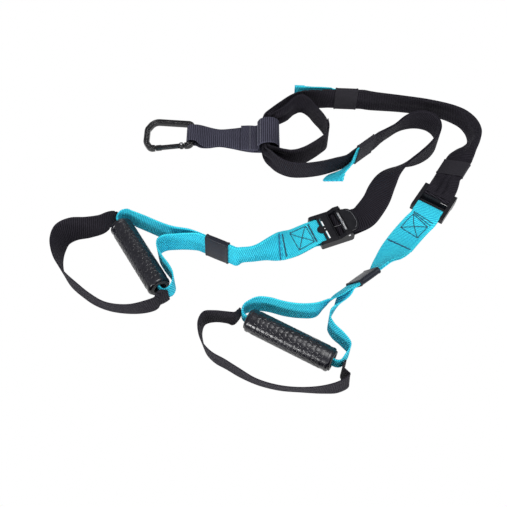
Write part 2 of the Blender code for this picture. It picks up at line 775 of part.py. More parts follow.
def cam_lever(label, empty, side_turn):
    """The lever: a cam with a rounded plate, open over the axle between its two end rings."""
    outline = [(LEVER_REACH - LEVER_THICK / 3, -LEVER_THICK / 2), (LEVER_REACH, -LEVER_THICK / 5),
               (LEVER_REACH, LEVER_THICK / 5), (LEVER_REACH - LEVER_THICK / 3, LEVER_THICK / 2)]
    for radius, first, last, steps in ((HUB_RADIUS, 24, 174, 10), (CAM_RADIUS, 180, 342, 12)):
        for step in range(steps + 1):
            angle = math.radians(first + (last - first) * step / steps)
            outline.append((radius * math.cos(angle), radius * math.sin(angle)))
    half = BUCKLE_INNER / 2 - CLEARANCE
    mesh_data = prism_mesh(label + "_cam_lever", outline, -half, half, side_turn)
    metal = (BLACK_METAL, 0.38, 0.5)
    lever = add_object(label + "_cam_lever", mesh_data, metal, parent=empty)
    lever.location = (AXLE_AT, 0, AXLE_HEIGHT)
    plan = [(-CAM_RADIUS * 2, -BUCKLE_WIDTH / 2), (-CAM_RADIUS * 2, BUCKLE_WIDTH / 2)]
    reach = LEVER_REACH + CLEARANCE
    plan.append((reach - LEVER_CORNER, BUCKLE_WIDTH / 2))
    for step in range(13):
        angle = math.pi / 2 - math.pi * step / 12
        across = math.copysign(abs(math.sin(angle)) ** 0.8 * (half - CLEARANCE), angle)
        plan.append((reach - LEVER_CORNER + LEVER_CORNER * max(0, math.cos(angle)) ** 0.8, across))
    plan.append((reach - LEVER_CORNER, -BUCKLE_WIDTH / 2))
    depth = SPRING_RADIUS + SPRING_WIRE + CLEARANCE * 1.5
    window = half - HUB_WIDTH
    steps = (
        (prism_mesh("lever_plan", plan, -EAR_HEIGHT, EAR_HEIGHT), "INTERSECT"),
        (cylinder_mesh("lever_bore", AXLE_RADIUS + AXLE_FIT, BUCKLE_WIDTH * 2, side_turn), "DIFFERENCE"),
        (box_mesh("axle_window", (-CAM_RADIUS * 2, -window, AXLE_RADIUS / 4),
                  (AXLE_RADIUS * 1.4, window, CAM_RADIUS * 2)), "DIFFERENCE"),
        (box_mesh("pocket", (-CAM_RADIUS * 2, -POCKET_HALF, -depth),
                  (depth, POCKET_HALF, CAM_RADIUS * 2)), "DIFFERENCE"),
    )
    for cut, operation in steps:
        cutter = add_object(label + "_" + cut.name, cut, metal, parent=empty, hidden=True)
        cutter.location = lever.location
        boolean(lever, cutter, operation)
    return lever


def cam_spring(label, empty):
    """A torsion spring round the axle, with one leg on the cover's edge."""
    points = []
    leg_end = COVER_TO - AXLE_AT + SPRING_WIRE + CLEARANCE
    points.append(Vector((leg_end, -SPRING_SPAN / 2, -SPRING_RADIUS)))
    points.append(Vector((leg_end / 2, -SPRING_SPAN / 2, -SPRING_RADIUS)))
    steps = SPRING_TURNS * 10
    for step in range(steps + 1):
        angle = -math.pi / 2 + math.tau * step / 10
        points.append(Vector((SPRING_RADIUS * math.cos(angle),
                              -SPRING_SPAN / 2 + SPRING_SPAN * step / steps,
                              SPRING_RADIUS * math.sin(angle))))
    mesh_data = tube_mesh(label + "_cam_spring", points, SPRING_WIRE)
    spring = add_object(label + "_cam_spring", mesh_data, (STEEL, 0.3, 1.0), parent=empty)
    spring.location = (AXLE_AT, 0, AXLE_HEIGHT)
    return spring


# Carabiner

def filleted(corners, arc_steps):
    """A path through corners of x, y and radius, with an arc at each corner that has a radius."""
    made = []
    for i, (x, y, radius) in enumerate(corners):
        here = Vector((x, y, 0))
        if radius == 0:
            made.append(here)
            continue
        back = (Vector((*corners[i - 1][:2], 0)) - here).normalized()
        ahead = (Vector((*corners[i + 1][:2], 0)) - here).normalized()
        half = back.angle(ahead) / 2
        centre = here + (back + ahead).normalized() * radius / math.sin(half)
        first = here + back * radius / math.tan(half) - centre
        last = here + ahead * radius / math.tan(half) - centre
        for step in range(arc_steps + 1):
            made.append(centre + first.slerp(last, step / arc_steps) * radius)
    return made


def carabiner_path():
    return filleted((
        (-NARROW_HALF * 0.47, -NARROW_HALF, 0),
        (0, -NARROW_HALF, NARROW_HALF * 0.30),
        (0, NARROW_HALF, NARROW_HALF * 0.30),
        (-CARABINER_REACH * 0.86, WIDE_HALF, WIDE_HALF * 0.46),
        (-CARABINER_REACH, WIDE_HALF * 0.44, WIDE_HALF * 0.40),
        (-CARABINER_REACH, -WIDE_HALF * 0.46, WIDE_HALF * 0.36),
        (-CARABINER_REACH * 0.90, -WIDE_HALF * 0.86, WIDE_HALF * 0.24),
        (-CARABINER_REACH * 0.79, -WIDE_HALF * 0.86, 0),
    ), 7)


def spine_mesh(name, path):
    """The carabiner's bar, with a groove along its upper and lower faces."""
    w, h = SPINE_HALF_WIDTH, SPINE_HALF_HEIGHT
    section = ((w, -h * 0.5), (w, h * 0.5), (w * 0.7, h), (w * 0.34, h), (0, h * 0.74),
               (-w * 0.34, h), (-w * 0.7, h), (-w, h * 0.5), (-w, -h * 0.5), (-w * 0.7, -h),
               (-w * 0.34, -h), (0, -h * 0.74), (w * 0.34, -h), (w * 0.7, -h))
    bm = bmesh.new()
    rings = []
    for point, along in zip(path, directions(path)):
        across = along.cross(UP)
        rings.append([bm.verts.new(point + across * a + UP * b) for a, b in section])
    count = len(section)
    for ring, following in zip(rings, rings[1:]):
        for i in range(count):
            j = (i + 1) % count
            bm.faces.new((ring[i], ring[j], following[j], following[i]))
    bm.faces.new(rings[0][::-1])
    bm.faces.new(rings[-1])
    mesh_data = bpy.data.meshes.new(name)
    bm.to_mesh(mesh_data)
    bm.free()
    return mesh_data


def carabiner():
    eye_height = EYE_RADIUS + ANCHOR_THICK
    centre = place(*CARABINER_SHARES, eye_height)
    empty = add_empty("carabiner_place", centre, (0, CARABINER_TILT, 0))
    metal = (BLACK_METAL, 0.3, 0.7)
    path = carabiner_path()
    body = add_object("carabiner_body", spine_mesh("carabiner_body", path), metal, parent=empty)
    hinge_end, nose_end = path[0], path[-1]
    pin = Vector((hinge_end.x - GATE_RADIUS - CLEARANCE * 2, hinge_end.y, 0))
    tongue = box_mesh("tongue", (pin.x - TONGUE_HALF, pin.y - TONGUE_HALF, -TONGUE_THICK / 2),
                      (hinge_end.x + TONGUE_HALF, pin.y + TONGUE_HALF, TONGUE_THICK / 2))
    tongue_obj = add_object("carabiner_tongue", tongue, metal, parent=empty, hidden=True)
    boolean(body, tongue_obj, "UNION")
    hole = cylinder_mesh("pin_hole", GATE_PIN_RADIUS + GATE_PIN_FIT, SPINE_HALF_HEIGHT * 4)
    hole_obj = add_object("carabiner_pin_hole", hole, metal, parent=empty, hidden=True)
    hole_obj.location = pin
    boolean(body, hole_obj, "DIFFERENCE")
    swing = nose_end - pin
    heading = math.atan2(swing.y, swing.x)
    gate_place = add_empty("gate_place", pin, (0, 0, heading))
    gate_place.parent = empty
    reach = swing.length - CLEARANCE * 1.5
    lay = Matrix.Rotation(math.pi / 2, 3, "Y")
    ends = [
        cylinder_mesh("carabiner_gate", GATE_RADIUS, reach, lay, (reach / 2, 0, 0), 20),
        cylinder_mesh("gate_heel", GATE_RADIUS, GATE_RADIUS * 1.96, None, (0, 0, 0), 20),
        cylinder_mesh("gate_bump", GATE_BUMP, GATE_BUMP * 1.8, lay, (reach - GATE_BUMP * 1.1, 0, 0), 20),
    ]
    gate = add_object("carabiner_gate", ends[0], metal, parent=gate_place)
    for end in ends[1:]:
        form = add_object(end.name + "_form", end, metal, parent=gate_place, hidden=True)
        boolean(gate, form, "UNION")
    slot = TONGUE_THICK / 2 + CLEARANCE
    cuts = [
        box_mesh("gate_slot", (-GATE_RADIUS * 2, -GATE_RADIUS * 2, -slot),
                 (TONGUE_HALF * 1.5, GATE_RADIUS * 2, slot)),
        cylinder_mesh("gate_bore", PUSH_BORE, PUSH_LENGTH + CLEARANCE * 2, lay,
                      (TONGUE_HALF * 1.5 + PUSH_LENGTH / 2, 0, 0), 16),
        cylinder_mesh("gate_pin_hole", GATE_PIN_RADIUS + GATE_PIN_FIT, GATE_RADIUS * 4, None),
    ]
    for cut in cuts:
        cutter = add_object(cut.name + "_cut", cut, metal, parent=gate_place, hidden=True)
        boolean(gate, cutter, "DIFFERENCE")
    pin_mesh = cylinder_mesh("gate_pin", GATE_PIN_RADIUS, GATE_RADIUS * 2.1)
    add_object("gate_pin", pin_mesh, (STEEL, 0.25, 1.0), parent=gate_place)
    coil = []
    steps = PUSH_TURNS * 8
    for step in range(steps + 1):
        angle = math.tau * step / 8
        run = TONGUE_HALF * 1.5 + PUSH_WIRE + (PUSH_LENGTH - PUSH_WIRE * 2) * step / steps
        coil.append(Vector((run, PUSH_RADIUS * math.cos(angle), PUSH_RADIUS * math.sin(angle))))
    coil_mesh = tube_mesh("gate_spring", coil, PUSH_WIRE, 5)
    add_object("gate_spring", coil_mesh, (STEEL, 0.3, 1.0), parent=gate_place)


def anchor_strap():
    """One wide strap: an end loop for the long strap, then an eye round the carabiner's bar."""
    rows = [tuple(row) for row in ANCHOR_LOOP_SHARES]
    radius = EYE_RADIUS + ANCHOR_THICK / 2
    height = EYE_RADIUS + ANCHOR_THICK
    x, y = CARABINER_SHARES
    for step in range(9):
        angle = math.radians(270 - 205 * step / 8)
        rows.append((x + radius * math.cos(angle) / PLACE, y,
                     (height + radius * math.sin(angle)) / PLACE, ANCHOR_EYE_WIDTH_SHARE))
    rows += [tuple(row) for row in ANCHOR_BACK_SHARES]
    stations = []
    for row in smooth_rows(rows):
        point = place(row[0], row[1], row[2] * PLACE)
        stations.append(Station(point, Vector((0, 1, 0)), ANCHOR_WIDTH * row[3] / 100, ANCHOR_THICK))
    return ribbon("anchor_strap", stations, (BLACK_WEB, 0.75))


# Long strap

def adjustable_leg(label, frame, lean, leg_rows, sleeve_shares, tab_rows):
    """A leg from the anchor loop to a buckle, and the same strap turned back to its pull tab."""
    bar_out = [TURN_BAR_AT + BAR_STEP * step for step in range(3)]
    rows = frame_rows(frame, bar_out, lean, 2) + leg_rows
    base = strap_route(rows, 2)
    around = BAR_RADIUS + CLEARANCE + WEB_THICK / 2
    low = shifted(base, eased(base, -around, -LAYER_PITCH / 2, BAR_STEP * 0.7, BAR_STEP * 4.2))
    high = shifted(base, eased(base, around, LAYER_PITCH / 2, BAR_STEP * 0.7, BAR_STEP * 4.2))
    side = low[0].side
    deep = (frame.to_3x3() @ UP).normalized()
    back = (frame.to_3x3() @ Vector((-1, 0, 0))).normalized()
    centre = frame @ Vector((TURN_BAR_AT, 0, BAR_HEIGHT))
    wrap = turn_around(centre, -deep, back, around, side, 8)
    ribbon(label + "_leg_strap", low, (BLACK_WEB, 0.75))
    sleeve_at = nearest(high, place(*sleeve_shares[:2]))
    ribbon(label + "_return_strap", wrap + high[:sleeve_at + 1], (BLACK_WEB, 0.75))
    along = directions([station.point for station in high])[sleeve_at]
    butt = high[sleeve_at]._replace(point=high[sleeve_at].point + along * CLEARANCE)
    inside = [station for station in high[sleeve_at + 1:]
              if (station.point - butt.point).length < SLEEVE_LENGTH * 0.6]
    ribbon(label + "_pull_tab", [butt] + inside + strap_route(tab_rows), (BLUE_WEB, 0.6))
    return base


def handle(label, frame, lean, run_rows, slider_shares, grip_shares, far_rows, near_rows,
           cradle_rows, cradle_ends):
    """A blue strap from a buckle through a slider and a grip and back, with its grip and foot cradle."""
    bar_out = [HANDLE_BAR_AT - BAR_STEP * step for step in range(3)]
    start_rows = frame_rows(frame, bar_out, lean)
    shared = start_rows + list(run_rows) + straight_rows(slider_shares)
    far = strap_route(shared + list(far_rows) + mouth_rows(grip_shares, 0, MOUTH_SHARES))
    near = strap_route(shared + list(near_rows) + mouth_rows(grip_shares, 1, MOUTH_SHARES[:-1]))
    around = BAR_RADIUS + CLEARANCE + WEB_THICK / 2
    low = shifted(far, eased(far, -around, -LAYER_PITCH / 2, BAR_STEP / 2, BAR_STEP * 2.4))
    mid = shifted(near, eased(near, LAYER_PITCH / 2, LAYER_PITCH / 2, 0, BAR_STEP))
    top = shifted(far, eased(far, around, LAYER_PITCH * 1.5, BAR_STEP / 2, BAR_STEP * 2.4))
    distances = travelled(far)
    hem = next(i for i, distance in enumerate(distances) if distance > HEM_LENGTH)
    tuck = next(i for i, distance in enumerate(distances) if distance > BAR_STEP * 1.3)
    deep = (frame.to_3x3() @ UP).normalized()
    ahead = (frame.to_3x3() @ Vector((1, 0, 0))).normalized()
    centre = frame @ Vector((HANDLE_BAR_AT, 0, BAR_HEIGHT))
    side = low[0].side
    wrap = turn_around(centre, deep, ahead, around, side, 8)
    whole = turned_back(top[:hem]) + wrap + low + turned_back(mid[tuck:])
    ribbon(label + "_handle_strap", whole, (BLUE_WEB, 0.6))

    x, y, heading = grip_shares
    turn = math.radians(heading)
    middle = place(x, y, GRIP_RADIUS) + Vector((math.cos(turn), math.sin(turn), 0)) * GRIP_LENGTH / 2
    tilt = (0, math.pi / 2, turn)
    sleeve_end = GRIP_LENGTH / 2 - CORE_LIP
    r = GRIP_RADIUS
    e = GRIP_EDGE_ROUND
    inside = CORE_RADIUS + CLEARANCE
    profile = (
        (inside, CLEARANCE - sleeve_end),
        (r - e, CLEARANCE - sleeve_end),
        (r - e / 3, e / 2 - sleeve_end),
        (r, e - sleeve_end),
        (r, sleeve_end - e),
        (r - e / 3, sleeve_end - e / 2),
        (r - e, sleeve_end - CLEARANCE),
        (inside, sleeve_end - CLEARANCE),
    )
    grip = add_object(label + "_grip", lathe_mesh(label + "_grip", profile, 32), (RUBBER, 0.6))
    grip.location = middle
    grip.rotation_euler = tilt
    end = GRIP_LENGTH / 2
    lip = CORE_RADIUS + CORE_LIP
    profile = (
        (CORE_BORE, -end),
        (lip, -end),
        (lip, CORE_LIP - end),
        (CORE_RADIUS, CORE_LIP - end),
        (CORE_RADIUS, end - CORE_LIP),
        (lip, end - CORE_LIP),
        (lip, end),
        (CORE_BORE, end),
    )
    core_mesh = lathe_mesh(label + "_grip_core", profile, 32)
    core = add_object(label + "_grip_core", core_mesh, (CORE_PLASTIC, 0.5))
    core.location = middle
    core.rotation_euler = tilt

    cradle = (mouth_rows(grip_shares, 0, cradle_ends) + list(cradle_rows)
              + mouth_rows(grip_shares, 1, cradle_ends[::-1]))
    ribbon(label + "_foot_cradle", strap_route(cradle), (BLACK_WEB, 0.75), origin=middle)

    ring_piece(label + "_strap_slider", far, place(*slider_shares[:2]), SLIDER_LENGTH, SLIDER_WALL, 2,
               (RUBBER, 0.5), SLIDER_WALL * 0.7)


# Build

clear_scene()
carabiner()
anchor_strap()

left_frame = buckle_frame_matrix(LEFT_BUCKLE_SHARES, False)
right_frame = buckle_frame_matrix(RIGHT_BUCKLE_SHARES, True)
cam_buckle("left", left_frame)
cam_buckle("right", right_frame)

left_leg = (*LEFT_LEG_SHARES, *straight_rows(LEFT_SLEEVE_SHARES), *LEFT_LEG_END_SHARES)
left_base = adjustable_leg("left", left_frame, 90, list(left_leg), LEFT_SLEEVE_SHARES, LEFT_TAB_SHARES)
right_leg = (*straight_rows(KEEPER_SHARES), *RIGHT_LEG_SHARES, *straight_rows(RIGHT_SLEEVE_SHARES),
             *RIGHT_LEG_END_SHARES)
right_base = adjustable_leg("right", right_frame, -90, list(right_leg), RIGHT_SLEEVE_SHARES,
                            RIGHT_TAB_SHARES)

for name, base, shares, length in (
        ("left_tab_sleeve", left_base, LEFT_SLEEVE_SHARES, SLEEVE_LENGTH),
        ("right_tab_sleeve", right_base, RIGHT_SLEEVE_SHARES, SLEEVE_LENGTH),
        ("keeper_sleeve", right_base, KEEPER_SHARES, KEEPER_LENGTH)):
    ring_piece(name, base, place(*shares[:2]), length, SLEEVE_WALL, 2, (BLACK_WEB, 0.75), RING_ROUND)

ribbon("equaliser_loop", strap_route(EQUALISER_SHARES), (BLACK_WEB, 0.75))

handle("left", left_frame, 90, LEFT_RUN_SHARES, LEFT_SLIDER_SHARES, LEFT_GRIP_SHARES,
       LEFT_FAR_SHARES, LEFT_NEAR_SHARES, LEFT_CRADLE_SHARES, LEFT_CRADLE_END_SHARES)
handle("right", right_frame, -90, RIGHT_RUN_SHARES, RIGHT_SLIDER_SHARES, RIGHT_GRIP_SHARES,
       RIGHT_FAR_SHARES, RIGHT_NEAR_SHARES, RIGHT_CRADLE_SHARES, RIGHT_CRADLE_END_SHARES)
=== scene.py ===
"""The looks of the suspension trainer.

Woven straps with their stitching, moulded grips, satin black buckles and the carabiner are built
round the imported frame. The straps follow the routes of their CAD solids, with slightly other leans
in places. Metres, +Z up.
"""

import math
from collections import namedtuple
from functools import lru_cache

import bmesh
import bpy
from mathutils import Matrix, Vector


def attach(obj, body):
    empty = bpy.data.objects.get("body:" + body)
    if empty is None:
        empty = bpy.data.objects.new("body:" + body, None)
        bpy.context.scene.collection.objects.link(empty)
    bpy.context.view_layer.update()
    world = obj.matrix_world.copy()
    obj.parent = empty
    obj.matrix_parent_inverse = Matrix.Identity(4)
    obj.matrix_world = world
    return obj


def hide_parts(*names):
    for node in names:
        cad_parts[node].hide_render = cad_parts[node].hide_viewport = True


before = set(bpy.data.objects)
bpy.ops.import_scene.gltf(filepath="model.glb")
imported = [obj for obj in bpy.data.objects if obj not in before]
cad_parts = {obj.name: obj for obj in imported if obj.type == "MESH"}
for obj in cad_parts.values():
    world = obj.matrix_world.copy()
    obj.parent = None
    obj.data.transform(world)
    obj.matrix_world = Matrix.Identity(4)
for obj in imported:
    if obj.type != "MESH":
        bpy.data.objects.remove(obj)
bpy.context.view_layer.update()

# Sizes that the CAD solids have too
PLACE = 0.001
CLEARANCE = 0.00035
STATION_SPACING = 0.003
WEB_WIDTH = 0.038
WEB_THICK = 0.0016
LAYER_PITCH = WEB_THICK + CLEARANCE
ANCHOR_WIDTH = 0.050
ANCHOR_THICK = 0.0020
GRIP_LENGTH = 0.120
GRIP_RADIUS = 0.016
CORE_RADIUS = 0.012
SLIDER_LENGTH = 0.034
SLIDER_WALL = 0.0028
SLEEVE_LENGTH = 0.035
SLEEVE_WALL = 0.0011
KEEPER_LENGTH = 0.030
EAR_HEIGHT = 0.0175
AXLE_AT = 0.010
AXLE_HEIGHT = 0.0140
BAR_RADIUS = 0.0025
BAR_HEIGHT = 0.0050
HANDLE_BAR_AT = -0.0195
TURN_BAR_AT = 0.004
BAR_STEP = 0.010
EYE_RADIUS = 0.0058
NARROW_HALF = 0.0215
WIDE_HALF = 0.0290
CARABINER_REACH = 0.0690
CARABINER_TILT = math.radians(-2.6)

# Sizes of the visible detail
CLOTH_THICK = 0.00145
SELVAGE_SHARE = 0.42
FOLD_WAVES = 2
TURN_RADIUS = BAR_RADIUS + CLEARANCE + WEB_THICK / 2
TURN_STEPS = 14
EYE_STEPS = 16
EYE_SWEEP = 205
HEM_LENGTHS = {"left": 0.072, "right": 0.078}
TAB_FOLD = 0.015
TAB_STITCHES_AT = (0.003, 0.0065)
TAB_FOLD_STEPS = 11
HEXAGONS_AROUND = 13
# The right leg's ridges: where they start and end, their height, half width and places across
PLEATS = (0.004, 0.049, 0.0034, 0.0015, (-0.0040, 0.0055))
PLEAT_EASE = 0.006
# A thread's radius, and a stitch's rings: place along it, thickness and rise, both in radii
THREAD = 0.00062
STITCH_RINGS = ((0, 0.7, -0.1), (0.12, 0.95, 0.2), (0.5, 1, 0.3), (0.88, 0.95, 0.2), (1, 0.7, -0.1))
# A hexagon's rings on a grip: height over the tube and share of its full size
DOME_RINGS = ((-0.0002, 0.91), (0.00030, 0.86), (0.00050, 0.74), (0.00054, 0.56), (0.00054, 0.38),
              (0.00054, 0.20))
# Sewn lines on a handle strap, from its buckle: two rows, the square's two sides and a last pair
SEWN_PLACES = {"left": (0.0150, 0.0163, 0.0190, 0.0455, 0.0640),
               "right": (0.0206, 0.0236, 0.0262, 0.0520, 0.0780)}
# The heavy bars sewn across the anchor strap, their light grey thread painted sheen: x, y and height
ANCHOR_BAR_PLACES = ((-22.6, 158, 0.0175), (-20.0, 158, 0.0215), (-36.5, 158, 0.0071))
# The dark walls between a buckle's cheeks, as painted shade in its slot: ends across, and outlines along and
# up, in the buckle's axes
WALL_END, SHORT_WALL_FROM = 0.0196, 0.0085
DEEP_WALL = ((-0.0056, 0.0101), (-0.0041, 0.0101), (-0.0015, 0.0017), (0.0008, 0.0006), (0.0024, 0.0004),
             (0.0024, 0.0001), (-0.0021, 0.0007))
WALL = ((-0.0056, 0.0101), (-0.0041, 0.0101), (-0.0012, 0.0016), (-0.0021, 0.0012))
# The short wall stops higher and leaves a gap, where the white floor shows through as a painted glint.
SHORT_WALL = ((-0.0056, 0.0101), (-0.0041, 0.0101), (-0.0023, 0.0047), (-0.0030, 0.0043))
# The thin raised rim on a lever, grey as a painted highlight: its middle and reach from the axle, its half
# width and its section
ARC_AT, ARC_REACH, ARC_HALF, ARC_RISE = 0.0084, 0.0104, 0.0164, 0.0013
ARC_SECTION = ((0.00022, 0), (0, 0.00012), (-0.00022, 0), (0, -0.0002))
ARC_STEPS = 24
# The stage: half the floor's width, the far walls' height, the sky's level and the lamps, each with
# its name, place, aim, size and watts
FLOOR_HALF, WALL_TOP = 9, 2
SKY_LEVEL = 0.26
LAMPS = (
    ("overhead", (0.30, -0.12, 1.5), (0.0, 0.0, 0.0), (1.1, 0.8), 15.0),
    ("front", (0.10, -1.5, 0.44), (0.0, 0.0, 0.0), (0.9, 0.18), 8.0),
    ("left", (-1.15, -1.20, 0.46), (0.0, -0.1, 0.0), (0.6, 0.25), 10.0),
    ("back", (-0.45, 1.15, 0.95), (-0.1, 0.1, 0.0), (0.5, 0.06), 1.2),
)

UP = Vector((0, 0, 1))
Station = namedtuple("Station", "point side width thick")

# Each route row holds x, y, lift, lean and width; the last three are 0, 0 and 100 where they are left
# out. The places and the lift are in units of PLACE. Lean is in degrees: 0 stands on edge and 90 lies
# flat. Width is in percent.
# A cradle's end rows hold S, O, lift and width, as the rows of a grip's mouth do.
LEFT_RUN = (
    (24, -36, 1.6, 77), (6, -47, 1.6, 46), (-13, -56, 2.0, 12), (-31, -63.5, 3.0, -3),
    (-46, -66.5, 4.0, -4),
)
LEFT_FAR = (
    (-118, -38, 3, 2), (-138, -32, 1), (-158, -24), (-180, -13), (-197, -4.5, 0.4, 0, 96),
    (-205.5, 1, 1.8, 0, 84),
)
LEFT_NEAR = (
    (-116, -43, 3, 2), (-135, -42, 1), (-151.5, -43.5), (-159.5, -49.5), (-160, -61), (-152, -77),
    (-142, -91), (-136.6, -102, 0.4, 0, 96), (-136.2, -110.4, 1.8, 0, 84),
)
RIGHT_RUN = (
    (198, -6, 6.0, -90), (181, -25, 3.5, -88), (165, -46, 3.0, -78), (150, -67, 3.2, -54),
)
RIGHT_FAR = (
    (78.5, -128.5, 4.4, -28), (65.5, -138, 0.6, -14), (50, -148.5), (30, -150), (9, -147), (-11, -141),
    (-25, -139.5, 0.4, 0, 96), (-34.5, -142, 1.8, 0, 84),
)
RIGHT_NEAR = (
    (84, -130.5, 4.4, -28), (74.5, -144, 0.6, -12), (66, -156), (64, -167), (69.5, -179),
    (80, -190, 0.4, 0, 96), (87.5, -202, 1.8, 0, 84),
)
LEFT_CRADLE_END = ((5, 13.8, 5, 58), (-1, 13.8, 1.6, 76), (-10, 13.9, 0.6, 94))
RIGHT_CRADLE_END = ((5, 13.9, 5.4, 56), (-1, 14, 2.4, 70), (-8.5, 16.1, 0.4, 87))
LEFT_CRADLE = (
    (-242, -13, 0, 8, 96), (-260, -18.5, 0, 13), (-280, -21, 0, 20), (-293, -29.5, 0, 23),
    (-297, -46, 0, 19), (-295.5, -63, 0, 12), (-289, -82, 0, 6), (-275, -102, 0, 2),
    (-257.5, -118, 0, 2), (-238.5, -132.5, 0, 5), (-217, -143, 0, 11), (-190, -146.5, 0, 11),
    (-169.5, -143, 0, 6, 98), (-156, -136, 0, 2, 90),
)
RIGHT_CRADLE = (
    (-64, -158, 0, -4, 94), (-80, -157, 0, -6), (-93, -159.5, 0, -2), (-98, -171, 0, 3),
    (-96.5, -187, 0, 6), (-91, -202, 0, 6), (-80, -214, 0, 6), (-65, -223, 0, 6), (-48, -234, 0, 7),
    (-26, -246, 0, 12), (0, -253.5, 0, 14), (28, -256, 0, 14), (54, -255.5, 0, 8),
    (73, -251.5, 0, 0, 98), (85, -242.5, 0, -4, 92),
)
LEFT_LEG = (
    (124, 8, 3.6, 88), (135, 21, 3.2, 84), (146, 38, 3.0, 78), (155.5, 59, 3.0, 70), (167, 77, 3.0, 56),
    (186, 92, 2.4, 34), (210, 105, 1, 12), (233, 124), (247, 146), (248.5, 165), (239, 179),
    (221.5, 184, 0, -2), (199, 177, 0, -10), (178, 160, 0.5, -15), (165, 149, 1.6, -12),
)
LEFT_LEG_END = (
    (104, 98.5, 0.4, -10), (87, 92, 0, -8), (68, 86, 0, -7), (42, 82, 0, -7), (22, 83.5, 0, -6),
    (6, 92, 0, -3), (-5, 104, 0.4, 0, 94), (-12.5, 116, 2, 0, 66), (-15, 127, 3, 0, 45),
    (-15, 142, 3, 0, 45), (-15, 157.6, 3, 0, 45),
)
RIGHT_LEG = (
    (285, 122, 1.8, -128), (295, 134, 1.2, -148), (302.5, 149, 0.4, -164), (301, 167, 0, -174),
    (292, 184, 0, -182), (278, 195, 0, -186), (260, 203.5, 0, -189), (234, 211, 0, -189),
    (202, 217, 0, -188), (169, 221.5, 0, -184), (150, 224, 0.8, -181),
)
RIGHT_LEG_END = (
    (76, 228.5, 0.8, -180), (58, 228.5, 0, -180), (42, 226, 0, -180), (26, 217.5, 0, -180),
    (10, 203.5, 0, -180), (-4, 194, 0.8, -180, 84), (-12, 189, 2.4, -180, 56), (-15, 181, 3, -180, 45),
    (-15, 170, 3, -180, 45), (-15, 158.4, 3, -180, 45),
)
EQUALISER = (
    (80, 150), (79.4, 166), (73, 181), (64, 195), (55, 210), (44, 218), (33, 213), (21, 200, 0, 0, 96),
    (8, 192, 0.8, 0, 80), (-3, 188, 2.4, 0, 55), (-8, 180, 3, 0, 45), (-8.5, 158, 3, 0, 45),
    (-8, 136, 3, 0, 45), (-5, 127, 2.6, 0, 52), (2, 117, 1, 0, 78), (13, 109, 0, 0, 96), (27, 106),
    (42, 111), (57, 121), (70, 132), (79.5, 142), (82.2, 154), (81.3, 168),
)
LEFT_TAB = (
    (113.5, 98.5, 1.0, -16, 96), (105.5, 90, 0.6, -32, 96), (96, 83, 0.4, -42, 96),
    (88.5, 77, 0.4, -50), (84.5, 70.5, 0.4, -54),
)
RIGHT_TAB = (
    (90, 232, 1.8, -180, 98), (76, 234.3, 1.4, -182, 98), (62, 236, 1, -184, 98),
    (48, 237.2, 0.6, -184), (34, 237.8, 0.6, -184),
)

# The middle of the layout, then where the hard pieces lie: x, y and heading in degrees
MIDDLE = (2.2, -11.4)
LEFT_BUCKLE = (84, -8.5, 21)
RIGHT_BUCKLE = (230, 35, 56)
LEFT_GRIP = (-216, -12, -58.3)
RIGHT_GRIP = (-37.5, -159, -29.1)
CARABINER = (-125.5, 163)

# Pieces on a straight stretch of strap: x, y, heading, the strap's lift and lean, half the stretch
LEFT_SLIDER = (-79, -57, 154.5, 4.2, 4, 28)
RIGHT_SLIDER = (113, -103, -142, 6.4, -29, 28)
LEFT_SLEEVE = (134, 122.5, -139, 1.6, -6, 26)
RIGHT_SLEEVE = (114, 227, 177, 1.6, -180, 26)
KEEPER = (264, 92, 57, 3.2, -112, 23)

# A strap that turns into a grip's mouth: S toward the slider, O outward, then lift and width
MOUTH = (
    (9.0, 10.0, 4.0, 68), (2.4, 8.6, 6.6, 50), (0, 4, 7.4, 45), (0, -3, 7.4, 45), (0, -20, 7.4, 45),
    (0, -60, 7.4, 45),
)

# The anchor strap in its own length: x, y, height and width in percent
ANCHOR_EYE_WIDTH_SHARE = 61
ANCHOR_LOOP = (
    (-50, 159, 6.1, 96), (-36, 158.5, 6.1, 100), (-26, 158, 6.3, 100), (-23, 158, 10, 100),
    (-23, 158, 16.5, 100), (-19.5, 158, 22, 100), (-11, 158, 25, 100), (0, 158, 24.2, 100),
    (6.5, 158, 18.5, 100), (7.8, 158, 10, 100), (4.5, 158, 3.2, 100), (-5, 158, 1.4, 100),
    (-20, 158, 1.4, 100), (-34, 158.2, 1.4, 98), (-48, 159, 1.4, 90), (-64, 160, 1.4, 76),
    (-83, 161, 1.4, 66), (-100, 162, 1.4, 80), (-112, 163, 1.4, 80), (-119, 163, 1.4, 64),
)
ANCHOR_BACK = (
    (-118, 163, 13.2, 64), (-111, 163, 7.6, 78), (-102, 162, 4.0, 82), (-83, 161, 3.75, 66),
    (-64, 160, 3.75, 76), (-48, 159, 3.75, 90), (-36, 158.2, 3.75, 97), (-30, 158, 3.75, 100),
)


# Routes, laid out as those of the CAD solids are

def place(x, y, height=0.0):
    return Vector(((x - MIDDLE[0]) * PLACE, (y - MIDDLE[1]) * PLACE, height))


def smooth_rows(rows):
    """A spline through the rows, with its knots spaced by the square root of the chords."""
    rows = [Vector(row) for row in rows]
    rows = [rows[0] * 2 - rows[1]] + rows + [rows[-1] * 2 - rows[-2]]
    chords = [(Vector(b[:3]) - Vector(a[:3])).length for a, b in zip(rows, rows[1:])]
    spans = [math.sqrt(chord) for chord in chords]
    made = []
    for i in range(1, len(rows) - 2):
        before, start, end, after = rows[i - 1:i + 3]
        back, here, ahead = spans[i - 1:i + 2]
        leave = ((start - before) / back - (end - before) / (back + here) + (end - start) / here) * here
        arrive = ((end - start) / here - (after - start) / (here + ahead) + (after - end) / ahead) * here
        count = max(1, math.ceil(chords[i] * PLACE / STATION_SPACING))
        for step in range(count):
            t = step / count
            made.append(start * (2 * t ** 3 - 3 * t ** 2 + 1) + leave * (t ** 3 - 2 * t ** 2 + t)
                        + end * (3 * t ** 2 - 2 * t ** 3) + arrive * (t ** 3 - t ** 2))
    made.append(rows[-2])
    return made


